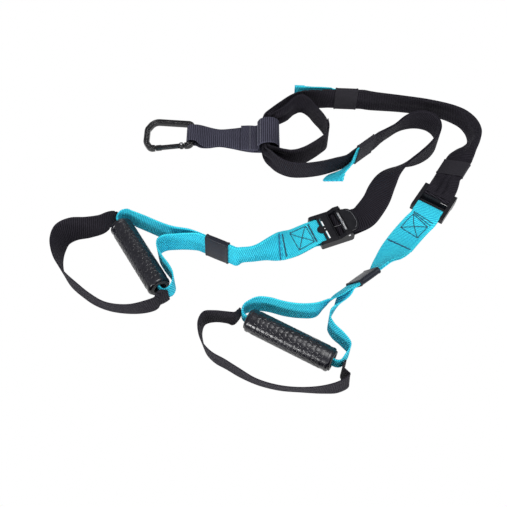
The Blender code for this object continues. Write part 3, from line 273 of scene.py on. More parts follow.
def directions(points):
    found = []
    for i in range(len(points)):
        step = points[min(i + 1, len(points) - 1)] - points[max(i - 1, 0)]
        found.append(step.normalized())
    return found


def ways(stations):
    return directions([station.point for station in stations])


def strap_route(rows, layers=1, doubled=False):
    """Stations along a strap that rests on the floor, or its lift over it, from route rows."""
    stack = WEB_THICK + LAYER_PITCH * (layers - 1)
    points, leans, widths, thicks = [], [], [], []
    for x, y, lift, lean, share in smooth_rows([(*row, *(0, 0, 100)[len(row) - 2:]) for row in rows]):
        lean = math.radians(lean)
        width = WEB_WIDTH * share / 100
        fold = min(1, max(0, (80 - share) / 35))
        deep = max(WEB_THICK * (1 + fold), stack)
        half = width / 2 * abs(math.cos(lean)) + deep / 2 * abs(math.sin(lean))
        points.append(place(x, y, max(lift * PLACE, CLEARANCE) + half))
        leans.append(lean)
        widths.append(width)
        thicks.append(CLOTH_THICK * (1 + fold) if doubled else CLOTH_THICK)
    stations = []
    for point, along, lean, width, thick in zip(points, directions(points), leans, widths, thicks):
        level = along.cross(UP).normalized()
        side = level.cross(along) * math.cos(lean) + level * math.sin(lean)
        stations.append(Station(point, side.normalized(), width, thick))
    return stations


def heading_axes(heading):
    """The way along a heading in degrees, and the way to its left."""
    along = Vector((math.cos(math.radians(heading)), math.sin(math.radians(heading)), 0))
    return along, Vector((-along.y, along.x, 0))


def straight_rows(shares):
    """The rows of a straight stretch, for a piece that slides on it."""
    x, y, heading, lift, lean, reach = shares
    along = heading_axes(heading)[0]
    return [(x + along.x * reach * step, y + along.y * reach * step, lift, lean)
            for step in (-1, -0.8, -0.4, 0, 0.4, 0.8, 1)]


def frame_rows(buckle, bar_at, away, lean, layers=1):
    """The rows of a strap that leaves a buckle's bar forward, or backward where away is -1."""
    stack = WEB_THICK + LAYER_PITCH * (layers - 1)
    rows = []
    for step in range(3):
        point = buckle @ Vector((bar_at + away * BAR_STEP * step, 0, BAR_HEIGHT))
        lift = (point.z - stack / 2) / PLACE
        rows.append((point.x / PLACE + MIDDLE[0], point.y / PLACE + MIDDLE[1], lift, lean))
    return rows


def mouth_rows(grip_shares, end, rows):
    """The rows of a strap that turns into a grip's mouth, at the grip's end 0 or 1."""
    x, y, heading = grip_shares
    along, toward = heading_axes(heading)
    outward = along if end else -along
    mouth = Vector((x, y, 0)) + along * (GRIP_LENGTH / PLACE) * end
    made = []
    for s, o, lift, width in rows:
        spot = mouth + toward * s + outward * o
        made.append((spot.x, spot.y, lift, 0, width))
    return made


def travelled(stations):
    total, found = 0.0, [0.0]
    for a, b in zip(stations, stations[1:]):
        total += (b.point - a.point).length
        found.append(total)
    return found


def shifted(stations, near, far, start, end):
    """The stations moved along their normals, by an offset that eases from near to far."""
    moved = []
    for station, direction, distance in zip(stations, ways(stations), travelled(stations)):
        t = min(1, max(0, (distance - start) / (end - start)))
        offset = near + (far - near) * t * t * (3 - 2 * t)
        normal = station.side.cross(direction).normalized()
        moved.append(station._replace(point=station.point + normal * offset))
    return moved


def nearest(stations, point):
    flat = [(Vector(s.point[:2]) - Vector(point[:2])).length for s in stations]
    return flat.index(min(flat))


def turn_around(buckle, bar_at, away, side):
    """The half turn of a strap round a buckle's bar, on the side that the strap doesn't leave by."""
    turn = buckle.to_3x3()
    start, across = (-away * (turn @ axis).normalized() for axis in (UP, Vector((1, 0, 0))))
    centre = buckle @ Vector((bar_at, 0, BAR_HEIGHT))
    made = []
    for step in range(1, TURN_STEPS):
        angle = math.pi * step / TURN_STEPS
        point = centre + (start * math.cos(angle) + across * math.sin(angle)) * TURN_RADIUS
        made.append(Station(point, side, WEB_WIDTH, CLOTH_THICK))
    return made


def buckle_matrix(shares, flipped):
    x, y, heading = shares
    turn = Matrix.Rotation(math.radians(heading), 4, "Z")
    if flipped:
        turn = turn @ Matrix.Rotation(math.pi, 4, "X")
    return Matrix.Translation(place(x, y, EAR_HEIGHT if flipped else 0.0)) @ turn


# Mesh building

def linked(name, data):
    obj = bpy.data.objects.new(name, data)
    bpy.context.scene.collection.objects.link(obj)
    return obj


def make_object(name, points, faces, uvs, material, body, smooth_angle, outward=True):
    """A piece that rides on its body. The UVs are per corner, in metres."""
    mesh = bpy.data.meshes.new(name)
    mesh.from_pydata([tuple(p) for p in points], [], faces)
    if uvs:
        layer = mesh.uv_layers.new(name="UVMap")
        layer.data.foreach_set("uv", [value for face in uvs for corner in face for value in corner])
    if outward:
        bm = bmesh.new()
        bm.from_mesh(mesh)
        bmesh.ops.recalc_face_normals(bm, faces=bm.faces)
        bm.to_mesh(mesh)
        bm.free()
    mesh.validate()
    mesh.shade_smooth()
    mesh.set_sharp_from_angle(angle=math.radians(smooth_angle))
    mesh.materials.append(material)
    obj = linked(name, mesh)
    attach(obj, body)
    return obj


def joined(count, rings, base=0, closed=False):
    """Faces that join so many rings of so many points, of which the first is at base."""
    faces = []
    for ring in range(rings if closed else rings - 1):
        here, there = base + ring * count, base + (ring + 1) % rings * count
        for i in range(count):
            j = (i + 1) % count
            faces.append((here + i, here + j, there + j, there + i))
    return faces


@lru_cache(maxsize=None)
def folded(share, count):
    """A strap's section of unit arc length: across, depth and slope, swung into folds where it is narrow."""
    low, high = 0.0, 2.2
    for _ in range(24):
        swing = (low + high) / 2
        reach = sum(math.cos(swing * math.cos(math.tau * i / 48)) for i in range(48)) / 48
        low, high = (swing, high) if reach > share else (low, swing)
    swing = 0 if share > 0.99 else (low + high) / 2
    fine = 6
    across, depth = 0.0, 0.0
    made = [(0.0, 0.0, swing)]
    for i in range(count * fine):
        slope = swing * math.cos(math.tau * FOLD_WAVES * (i + 0.5) / (count * fine))
        across += math.cos(slope) / (count * fine)
        depth += math.sin(slope) / (count * fine)
        if (i + 1) % fine == 0:
            place_share = (i + 1) / (count * fine)
            made.append((across, depth, swing * math.cos(math.tau * FOLD_WAVES * place_share)))
    middle = (min(p[1] for p in made) + max(p[1] for p in made)) / 2
    return [(a - across / 2, d - middle, slope) for a, d, slope in made]


def pleat(pleats, run, across):
    """The height of a strap's lengthwise ridges at a place on it."""
    first, last, height, half, places = pleats
    ease = min(1, max(0, (run - first) / PLEAT_EASE)) * min(1, max(0, (last - run) / PLEAT_EASE))
    return height * ease * sum(math.exp(-((across - at) / half) ** 2) for at in places)


def webbing(name, stations, material, body, folds=True, count=14, start=0.0, pleats=None):
    """One closed woven strap with rounded selvages, UVs in metres: across the strap and along it.

    Where it is narrow, a strap with folds is gathered, and one without stays flat.
    """
    points, arcs, uvs = [], [], []
    runs = travelled(stations)
    ring = 2 * count + 4
    full = max(s.width for s in stations)
    for station, direction, run in zip(stations, ways(stations), runs):
        normal = station.side.cross(direction).normalized()
        share = round(station.width / full, 2)
        shape = folded(share if folds else 1.0, count)
        scale = full if folds else station.width
        line = []
        for a, d, slope in shape:
            lift = d * scale + (pleat(pleats, run, a * scale) if pleats else 0.0)
            point = station.point + station.side * (a * scale) + normal * lift
            out = normal * math.cos(slope) - station.side * math.sin(slope)
            line.append((point, out * (station.thick / 2)))
        edge = []
        for index, neighbour in ((count, count - 1), (0, 1)):
            step = (line[index][0] - line[neighbour][0]).normalized()
            edge.append(line[index][0] + step * station.thick * SELVAGE_SHARE)
        points += [p + o for p, o in line] + [edge[0]] + [p - o for p, o in line[::-1]] + [edge[1]]
        arc = [full / 2 + scale * (i / count - 0.5) for i in range(count + 1)]
        arcs.append(arc + [arc[-1] + CLOTH_THICK / 2] + arc[::-1] + [arc[0] - CLOTH_THICK / 2])
    faces = joined(ring, len(stations))
    for s in range(len(stations) - 1):
        v0, v1 = runs[s] + start, runs[s + 1] + start
        for i in range(ring):
            j = (i + 1) % ring
            uvs.append(((arcs[s][i], v0), (arcs[s][j], v0), (arcs[s + 1][j], v1), (arcs[s + 1][i], v1)))
    for s, flip in ((0, False), (len(stations) - 1, True)):
        base = s * ring
        v = runs[s] + start
        cap = [(base + i, base + i + 1, base + 2 * count + 1 - i, base + 2 * count + 2 - i)
               for i in range(count)]
        cap += [(base + count, base + count + 1, base + count + 2), (base + ring - 1, base, base + ring - 2)]
        for face in cap:
            faces.append(face[::-1] if flip else face)
            uvs.append(tuple((arcs[s][(k - base) % ring], v) for k in faces[-1]))
    obj = make_object(name, points, faces, uvs, material, body, 50)
    obj["length"] = runs[-1]
    return obj


def surface(stations, side):
    """A function from distance along and place across to a point just on the strap's face and its axes."""
    runs = travelled(stations)
    along = ways(stations)

    def at(distance, across, lift=0.0):
        distance = min(max(distance, 0.0), runs[-1] - 1e-6)
        i = next(k for k in range(len(runs) - 1) if runs[k + 1] > distance)
        t = (distance - runs[i]) / max(runs[i + 1] - runs[i], 1e-9)
        point = stations[i].point.lerp(stations[i + 1].point, t)
        axis = stations[i].side.lerp(stations[i + 1].side, t).normalized()
        direction = along[i].lerp(along[i + 1], t).normalized()
        normal = axis.cross(direction).normalized() * side
        return point + axis * across + normal * (stations[i].thick / 2 + lift), direction, axis, normal
    return at


def thread(at, lines, pitch=0.0038, gap=0.00005, radius=THREAD):
    """Points and faces of sewn stitches along lines of (distance, across) on a strap's face."""
    points, faces = [], []
    sides = 6
    for line in lines:
        for (d0, a0), (d1, a1) in zip(line, line[1:]):
            total = math.hypot(d1 - d0, a1 - a0)
            count = max(1, round(total / pitch))
            for k in range(count):
                first = (k * total / count + gap / 2) / total
                last = ((k + 1) * total / count - gap / 2) / total
                start = len(points)
                for t, thin, rise in STITCH_RINGS:
                    share = first + (last - first) * t
                    point, direction, axis, normal = at(d0 + (d1 - d0) * share, a0 + (a1 - a0) * share,
                                                        radius * rise)
                    run = (direction * (d1 - d0) + axis * (a1 - a0)).normalized()
                    across = normal.cross(run).normalized()
                    points += [point + (across * math.cos(b) + normal * math.sin(b)) * radius * thin
                               for b in (math.tau * n / sides for n in range(sides))]
                faces += joined(sides, len(STITCH_RINGS), start)
                faces += [tuple(range(start, start + sides))[::-1],
                          tuple(range(len(points) - sides, len(points)))]
    return points, faces


def sewn(name, stitches, material):
    make_object(name, *stitches, None, material, "webbing", 80, outward=False)


def box_cross(first, last, half):
    """The sewn square with its cross, as lines."""
    return [[(first, -half), (first, half), (last, half), (last, -half), (first, -half)],
            [(first, -half), (last, half)], [(first, half), (last, -half)]]


def sweep(name, path, sections, material, body, closed=False, smooth_angle=40):
    """A skin through rings of (a, b) points, each given with its own point, across and up axes."""
    points, uvs, runs = [], [], []
    count = len(sections[0])
    run = 0.0
    for k, ((point, across, up), ring) in enumerate(zip(path, sections)):
        if k:
            run += (point - path[k - 1][0]).length
        runs.append(run)
        points += [point + across * a + up * b for a, b in ring]
    girth = [0.0]
    for (a0, b0), (a1, b1) in zip(sections[0], sections[0][1:] + sections[0][:1]):
        girth.append(girth[-1] + math.hypot(a1 - a0, b1 - b0))
    faces = joined(count, len(path), closed=closed)
    for v0, v1 in zip(runs, runs[1:] + ([run] if closed else [])):
        uvs += [((g0, v0), (g1, v0), (g1, v1), (g0, v1)) for g0, g1 in zip(girth, girth[1:])]
    if not closed:
        for k, order in ((0, range(count)[::-1]), (len(path) - 1, range(count))):
            faces.append(tuple(k * count + i for i in order))
            uvs.append(tuple((girth[i], runs[k]) for i in order))
    return make_object(name, points, faces, uvs, material, body, smooth_angle)


def round_box(half_a, half_b, radius, steps=5):
    """A rounded rectangle's outline."""
    radius = min(radius, half_a, half_b)
    made = []
    for sign_a, sign_b, first in ((1, 1, 0), (-1, 1, 90), (-1, -1, 180), (1, -1, 270)):
        for step in range(steps + 1):
            angle = math.radians(first + 90 * step / steps)
            made.append((sign_a * (half_a - radius) + radius * math.cos(angle),
                         sign_b * (half_b - radius) + radius * math.sin(angle)))
    return made


# Materials

class Nodes:
    """Short words for building a node tree."""

    def __init__(self, name):
        self.material = bpy.data.materials.new(name)
        self.material.use_nodes = True
        self.tree = self.material.node_tree
        self.shader = self.tree.nodes["Principled BSDF"]
        self.where = self.new("ShaderNodeTexCoord").outputs

    def new(self, kind, **values):
        node = self.tree.nodes.new(kind)
        for key, value in values.items():
            setattr(node, key, value)
        return node

    def link(self, source, target):
        self.tree.links.new(source, target)

    def fill(self, socket, value):
        if hasattr(value, "links"):
            self.link(value, socket)
        else:
            socket.default_value = (*value, 1) if isinstance(value, tuple) else value

    def math(self, operation, a, b=0.0, c=0.0, clamp=False):
        node = self.new("ShaderNodeMath", operation=operation, use_clamp=clamp)
        for socket, value in zip(node.inputs, (a, b, c)):
            self.fill(socket, value)
        return node.outputs[0]

    def ramp(self, value, low, high, to_low=0.0, to_high=1.0):
        node = self.new("ShaderNodeMapRange")
        for socket, item in zip(node.inputs[:5], (value, low, high, to_low, to_high)):
            self.fill(socket, item)
        return node.outputs[0]

    def mix(self, share, first, second):
        node = self.new("ShaderNodeMix", data_type="RGBA")
        self.fill(node.inputs[0], share)
        self.fill(node.inputs[6], first)
        self.fill(node.inputs[7], second)
        return node.outputs[2]

    def noise(self, scale, detail=2.0, rough=0.5):
        node = self.new("ShaderNodeTexNoise")
        self.link(self.where["Object"], node.inputs["Vector"])
        node.inputs["Scale"].default_value = scale
        node.inputs["Detail"].default_value = detail
        node.inputs["Roughness"].default_value = rough
        return node.outputs["Fac"]

    def uv(self):
        split = self.new("ShaderNodeSeparateXYZ")
        self.link(self.where["UV"], split.inputs[0])
        return split.outputs[0], split.outputs[1]

    def bump(self, height, distance):
        node = self.new("ShaderNodeBump")
        node.inputs["Distance"].default_value = distance
        node.inputs["Strength"].default_value = 1.0
        self.link(height, node.inputs["Height"])
        self.link(node.outputs[0], self.shader.inputs["Normal"])

    def set(self, **values):
        names = {"roughness": "Roughness", "metallic": "Metallic", "sheen": "Sheen Weight",
                 "sheen_rough": "Sheen Roughness", "sheen_tint": "Sheen Tint", "colour": "Base Color",
                 "specular": "Specular IOR Level"}
        for key, value in values.items():
            self.fill(self.shader.inputs[names[key]], value)


def times(colour, factor):
    return tuple(factor * part for part in colour)


def woven(name, light, dark, rib, slant, yarn, sheen, tint, specular, relief, width=WEB_WIDTH):
    """Webbing: slanting crosswise ribs, cut into grains by the yarns that run along it, with selvages. Its
    colour carries painted shade: darker in the grooves between ribs and yarns, lighter on ribs and selvages.
    """
    n = Nodes(name)
    u, v = n.uv()
    wobble = n.math("MULTIPLY", n.math("SUBTRACT", n.noise(210.0, 2.0), 0.5), 0.5)
    row = n.math("ADD", n.math("DIVIDE", n.math("MULTIPLY_ADD", u, slant, v), rib), wobble)
    ridge = n.math("ABSOLUTE", n.math("SINE", n.math("MULTIPLY", row, math.pi)))
    cord_line = n.math("ABSOLUTE", n.math("SINE", n.math("MULTIPLY", n.math("DIVIDE", u, yarn), math.pi)))
    round_yarn = n.math("MULTIPLY_ADD", cord_line, 0.3, 0.7)
    height = n.math("MULTIPLY", n.math("POWER", ridge, 0.8), round_yarn)
    from_edge = n.math("SUBTRACT", width / 2, n.math("ABSOLUTE", n.math("SUBTRACT", u, width / 2)))
    selvage = n.ramp(from_edge, 0.0009, 0.0021, 1.0, 0.0)
    height = n.math("MULTIPLY_ADD", selvage, 0.25, height)
    broad = n.noise(26.0, 3.0, 0.6)
    fuzz = n.noise(1900.0, 2.0, 0.7)
    # Painted shade and light: the rib height sets the colour, darker in the grooves and lighter on ribs and
    # selvages; broad and fine noise add random tone.
    shade = n.math("MULTIPLY_ADD", n.math("SUBTRACT", broad, 0.5), 0.4, n.ramp(height, 0.05, 0.95, 0.0, 1.0))
    shade = n.math("MULTIPLY_ADD", n.math("SUBTRACT", fuzz, 0.5), 0.35, shade, clamp=True)
    n.set(colour=n.mix(shade, dark, light), roughness=n.ramp(fuzz, 0.3, 0.7, 0.62, 0.86),
          sheen=sheen, sheen_rough=0.45, sheen_tint=tint, specular=specular)
    n.bump(n.math("MULTIPLY_ADD", fuzz, 0.22, height), relief)
    return n.material


def sewing(name, light, dark):
    """Twisted thread, with painted shade: darker in the twist's grooves and lighter on its ridges."""
    n = Nodes(name)
    twist = n.new("ShaderNodeTexWave", wave_type="BANDS", bands_direction="DIAGONAL")
    n.link(n.where["Object"], twist.inputs["Vector"])
    twist.inputs["Scale"].default_value = 900.0
    twist.inputs["Distortion"].default_value = 1.0
    # Painted shade: the twist's bump height also sets the colour, darker in its grooves.
    n.set(colour=n.mix(twist.outputs["Fac"], dark, light), roughness=0.55, sheen=0.2)
    n.bump(twist.outputs["Fac"], 0.00006)
    return n.material


def coated(name, base, rough_low, rough_high, grain=0.00002, metallic=0.0, worn=0.0, specular=0.5):
    """Painted or plated metal: fine grain, uneven gloss and small rubbed places."""
    n = Nodes(name)
    fine = n.noise(1400.0, 2.0, 0.6)
    broad = n.noise(70.0, 4.0, 0.6)
    rubbed = n.ramp(n.noise(190.0, 5.0, 0.75), 0.64, 0.74, 0.0, worn)
    tone = n.mix(broad, times(base, 0.75), times(base, 1.3))
    n.set(colour=n.mix(rubbed, tone, tuple(min(1.0, 0.06 + 2.2 * c) for c in base)),
          roughness=n.ramp(n.math("MULTIPLY_ADD", fine, 0.4, broad), 0.45, 0.95, rough_low, rough_high),
          metallic=metallic, specular=specular)
    n.bump(fine, grain)
    return n.material


def rubber(name, base, rough_low, rough_high, relief=0.00005, scale=900.0, specular=0.5):
    """Moulded rubber or plastic: uneven tone and gloss with a fine grain."""
    n = Nodes(name)
    fine = n.noise(scale, 3.0, 0.65)
    broad = n.noise(60.0, 3.0, 0.6)
    tone = n.mix(n.ramp(broad, 0.3, 0.7), times(base, 0.8), times(base, 1.25))
    n.set(colour=n.mix(n.ramp(fine, 0.55, 0.8, 0.0, 0.35), tone, times(base, 1.9)),
          roughness=n.ramp(n.math("MULTIPLY_ADD", fine, 0.5, broad), 0.5, 1.0, rough_low, rough_high),
          specular=specular, sheen=0.04)
    n.bump(fine, relief)
    return n.material


# Each webbing's first colour is its lit ribs, and its second is the painted shade in its grooves.
BLACK_CLOTH = woven("black_webbing", (0.029, 0.026, 0.035), (0.0014, 0.0012, 0.0020), 0.0027, 0.22, 0.0016,
                    0.03, (0.62, 0.60, 0.80), 0.09, 0.00060)
# The anchor webbing is lighter than the other black webbing: partly a coarser webbing of its own, partly
# painted sheen of its flat top.
ANCHOR_SHEEN_CLOTH = woven("anchor_webbing_sheen", (0.088, 0.086, 0.126), (0.0015, 0.0015, 0.0035), 0.0031, 0.0, 0.0020,
                     0.05, (0.60, 0.66, 0.95), 0.12, 0.00080, ANCHOR_WIDTH)
BLUE_CLOTH = woven("blue_webbing", (0.062, 0.850, 1.000), (0.004, 0.270, 0.560), 0.0026, 0.30, 0.0016,
                   0.03, (0.70, 0.95, 1.00), 0.13, 0.00060)
ELASTIC = woven("sleeve_elastic", (0.028, 0.026, 0.033), (0.006, 0.0055, 0.008), 0.0011, 0.0, 0.0011,
                0.05, (0.62, 0.60, 0.80), 0.20, 0.00015)
TEAL_THREAD = sewing("teal_thread", (0.004, 0.085, 0.150), (0.002, 0.035, 0.070))
# A painted shadow: the dark blue thread laid along a hem's end.
HEM_SHADOW_THREAD = sewing("hem_shadow_thread", (0.006, 0.180, 0.340), (0.003, 0.100, 0.210))
ANCHOR_SHEEN_THREAD = sewing("anchor_sheen_thread", (0.150, 0.148, 0.210), (0.050, 0.050, 0.075))
SATIN = coated("satin_black", (0.008, 0.008, 0.011), 0.26, 0.42, 0.000012, worn=0.2, specular=0.30)
CAST_BLACK = coated("cast_black", (0.008, 0.008, 0.010), 0.10, 0.24, worn=0.2)
CHROME = coated("chrome", (0.86, 0.86, 0.88), 0.24, 0.36, 0.000004, metallic=1.0)
# The lever's rim line: a painted highlight.
RIM_HIGHLIGHT_GREY = coated("rim_highlight_grey", (0.20, 0.20, 0.22), 0.30, 0.45, 0.000004)
STEEL = coated("steel_wire", (0.45, 0.45, 0.47), 0.22, 0.40, 0.000006, metallic=1.0)
GRIP_RUBBER = rubber("grip_rubber", (0.0070, 0.0068, 0.0125), 0.20, 0.36, specular=0.75)
CORE_PLASTIC = rubber("core_plastic", (0.030, 0.030, 0.034), 0.42, 0.60, 0.00002, 600.0)
SLIDER_RUBBER = rubber("slider_rubber", (0.0110, 0.0135, 0.0225), 0.34, 0.52, 0.00003, 900.0, 0.22)


# The straps

def strap(name, stations, material, node, slot, body="webbing", width=None, **options):
    """A strap in place of its CAD solid."""
    obj = webbing(name, stations, material, body, **options)
    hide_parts(node)
    width = width or max(s.width for s in stations)


def adjustable_leg(label, buckle, lean, leg_rows, sleeve_shares, tab_rows):
    """The long strap to a buckle, round its bar and back to the sleeve, with the pull tab."""
    base = strap_route(frame_rows(buckle, TURN_BAR_AT, 1, lean, 2) + leg_rows, 2)
    low = shifted(base, -TURN_RADIUS, -LAYER_PITCH / 2, BAR_STEP * 0.7, BAR_STEP * 4.2)
    high = shifted(base, TURN_RADIUS, LAYER_PITCH / 2, BAR_STEP * 0.7, BAR_STEP * 4.2)
    wrap = turn_around(buckle, TURN_BAR_AT, 1, low[0].side)
    strap(label + "_leg_web", low, BLACK_CLOTH, label + "_leg_strap", "black_webbing", start=0.011,
          **(dict(count=36, pleats=PLEATS) if label == "right" else {}))
    at = nearest(high, place(*sleeve_shares[:2]))
    strap(label + "_return_web", wrap + high[:at + 1], BLACK_CLOTH, label + "_return_strap", "black_webbing")
    along = ways(high)[at]
    butt = high[at]._replace(point=high[at].point + along * CLEARANCE)
    inside = [station for station in high[at + 1:]
              if (station.point - butt.point).length < SLEEVE_LENGTH * 0.6]
    tab = [butt] + inside + strap_route(tab_rows)
    strap(label + "_tab_web", tab, BLUE_CLOTH, label + "_pull_tab", "blue_webbing")
    return base, tab


def tab_hem(label, tab):
    """The pull tab's end, turned over and sewn down."""
    total = travelled(tab)[-1]
    at = surface(tab, 1)
    width = WEB_WIDTH * 0.99
    rows = []
    for step in range(TAB_FOLD_STEPS + 1):
        back = TAB_FOLD * (1 - step / TAB_FOLD_STEPS)
        point, direction, axis, _ = at(total - back, 0.0, CLOTH_THICK / 2 + 0.0001)
        if step == TAB_FOLD_STEPS:
            point = point + direction * CLOTH_THICK * 0.3
        rows.append(Station(point, axis, width, CLOTH_THICK))
    obj = webbing(label + "_tab_hem", rows, BLUE_CLOTH, "webbing", start=0.003)
    lines = [[(run, -width * 0.45), (run, width * 0.45)] for run in TAB_STITCHES_AT]
    sewn(label + "_tab_stitches", thread(surface(rows, 1), lines), TEAL_THREAD)


def handle(label, buckle, lean, run_rows, slider_shares, grip_shares, far_rows, near_rows):
    """The blue strap: from its hem round the bar, through the grip and back in a second layer."""
    shared = [*frame_rows(buckle, HANDLE_BAR_AT, -1, lean), *run_rows, *straight_rows(slider_shares)]
    far = strap_route([*shared, *far_rows, *mouth_rows(grip_shares, 0, MOUTH)], doubled=True)
    near = strap_route([*shared, *near_rows, *mouth_rows(grip_shares, 1, MOUTH[:-1])], doubled=True)
    low = shifted(far, -TURN_RADIUS, -LAYER_PITCH / 2, BAR_STEP / 2, BAR_STEP * 2.4)
    mid = shifted(near, LAYER_PITCH / 2, LAYER_PITCH / 2, 0, BAR_STEP)
    top = shifted(far, TURN_RADIUS, LAYER_PITCH * 1.5, BAR_STEP / 2, BAR_STEP * 2.4)
    runs = travelled(far)
    hem = next(i for i, distance in enumerate(runs) if distance > HEM_LENGTHS[label])
    tuck = next(i for i, distance in enumerate(runs) if distance > BAR_STEP * 1.3)
    wrap = turn_around(buckle, HANDLE_BAR_AT, -1, low[0].side)
    strap(label + "_handle_web", top[:hem][::-1] + wrap + low + mid[tuck:][::-1],
          BLUE_CLOTH, label + "_handle_strap", "blue_webbing", folds=False)
    return far, low, top


def foot_cradle(label, grip_shares, cradle_rows, cradle_ends):
    """The loop of webbing from one end of a grip to the other."""
    rows = [*mouth_rows(grip_shares, 0, cradle_ends), *cradle_rows,
            *mouth_rows(grip_shares, 1, cradle_ends[::-1])]
    strap(label + "_cradle_web", strap_route(rows, doubled=True), BLACK_CLOTH, label + "_foot_cradle",
          "black_webbing", label + "_cradle", WEB_WIDTH, folds=False)


# Hard pieces

def band(name, stations, spot, length, wall, material, node, body, rims=0.0, bow=0.0, corner=1.3):
    """A hollow band round two layers of strap, with rolled rims at its two ends."""
    index = nearest(stations, spot)
    centre = stations[index]
    along = ways(stations)[index]
    normal = centre.side.cross(along).normalized()
    deep = WEB_THICK + LAYER_PITCH
    inner = (WEB_WIDTH / 2 + CLEARANCE, deep / 2 + CLEARANCE)
    rows = []
    half = length / 2
    for share in (-1, -0.985, -0.955, -0.90, -0.86, -0.82, -0.5, 0, 0.5, 0.82, 0.86, 0.90, 0.955, 0.985, 1):
        edge = max(0.0, abs(share) - 0.955) / 0.045
        lip = rims if abs(share) > 0.88 else (rims * 0.4 if abs(share) > 0.84 else 0)
        grow = wall * (1 - 0.35 * edge * edge) + lip + bow * (1 - share * share)
        rows.append((share, grow, wall * corner))
    rows += [(share, grow, wall * 0.3)
             for share, grow in ((0.985, 0.0001), (0.9, 0.0), (-0.9, 0.0), (-0.985, 0.0001))]
    path, rings = [], []
    for share, grow, radius in rows:
        path.append((centre.point + along * share * half, centre.side, normal))
        rings.append(round_box(inner[0] + grow, inner[1] + grow, radius))
    obj = sweep(name, path, rings, material, body, closed=True)
    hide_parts(node)


def grip(label, grip_shares):
    """The moulded grip: a tube with rounded ends under rows of raised hexagons."""
    x, y, heading = grip_shares
    axis, across = heading_axes(heading)
    middle = place(x, y, GRIP_RADIUS) + axis * GRIP_LENGTH / 2
    half = GRIP_LENGTH / 2 - 0.0016
    r = GRIP_RADIUS - 0.00055
    body = label + "_grip_tube"
    profile = [(CORE_RADIUS + 0.0003, -half), (r - 0.0018, -half), (r - 0.0007, -half + 0.0005),
               (r + 0.0002, -half + 0.0016), (r + 0.00045, -half + 0.003), (r + 0.00045, -half + 0.0045),
               (r, -half + 0.0052)]
    profile += [(r, -half + 0.0052 + (2 * half - 0.0104) * k / 12) for k in range(1, 12)]
    profile += [(radius, -at) for radius, at in profile[6::-1]]
    steps = 64
    points = []

    def add(along, angle, radius):
        points.append(middle + axis * along + (across * math.cos(angle) + UP * math.sin(angle)) * radius)

    for radius, at in profile:
        for k in range(steps):
            add(at, math.tau * k / steps, radius)
    faces = joined(steps, len(profile), closed=True)
    pitch = math.tau / HEXAGONS_AROUND
    size = pitch * r / math.sqrt(3)
    rows_long = int((2 * half - 0.014) / (size * 1.5))
    start = -size * 1.5 * (rows_long - 1) / 2
    for row in range(rows_long):
        at = start + row * size * 1.5
        for k in range(HEXAGONS_AROUND):
            angle = (k + 0.5 * (row % 2)) * pitch
            base = len(points)
            for rise, grow in DOME_RINGS:
                for c in range(6):
                    corner = math.radians(60 * c)
                    add(at + math.cos(corner) * size * grow, angle + math.sin(corner) * size * grow / r,
                        r + rise)
            faces += joined(6, len(DOME_RINGS), base)
            faces.append(tuple(range(len(points) - 6, len(points))))
    obj = make_object(label + "_grip_cover", points, faces, None, GRIP_RUBBER, body, 30)
    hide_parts(label + "_grip")


def carabiner_ring(scale):
    """The bar's section: a rounded beam with a groove along its upper and lower faces."""
    w, h = 0.0045 * scale, 0.0042 * scale
    quarter = ((w * 0.99, 0), (w * 1.0, h * 0.35), (w * 0.97, h * 0.62), (w * 0.88, h * 0.84),
               (w * 0.74, h * 0.96), (w * 0.58, h * 1.0), (w * 0.44, h * 0.95), (w * 0.35, h * 0.80),
               (w * 0.27, h * 0.73))
    top = list(quarter) + [(0, h * 0.71)] + [(-a, b) for a, b in quarter[::-1]]
    return top + [(a, -b) for a, b in top[-2:0:-1]]


def filleted(corners, arc_steps=14):
    """A path through corners of (x, y, radius), each rounded to its radius."""
    made = []
    for i, (x, y, radius) in enumerate(corners):
        here = Vector((x, y, 0))
        if radius == 0:
            made.append(here)
            continue
        back = (Vector((*corners[i - 1][:2], 0)) - here).normalized()
        ahead = (Vector((*corners[i + 1][:2], 0)) - here).normalized()
        half = back.angle(ahead) / 2
        centre = here + (back + ahead).normalized() * radius / math.sin(half)
        first = here + back * radius / math.tan(half) - centre
        last = here + ahead * radius / math.tan(half) - centre
        for step in range(arc_steps + 1):
            made.append(centre + first.slerp(last, step / arc_steps) * radius)
    return made


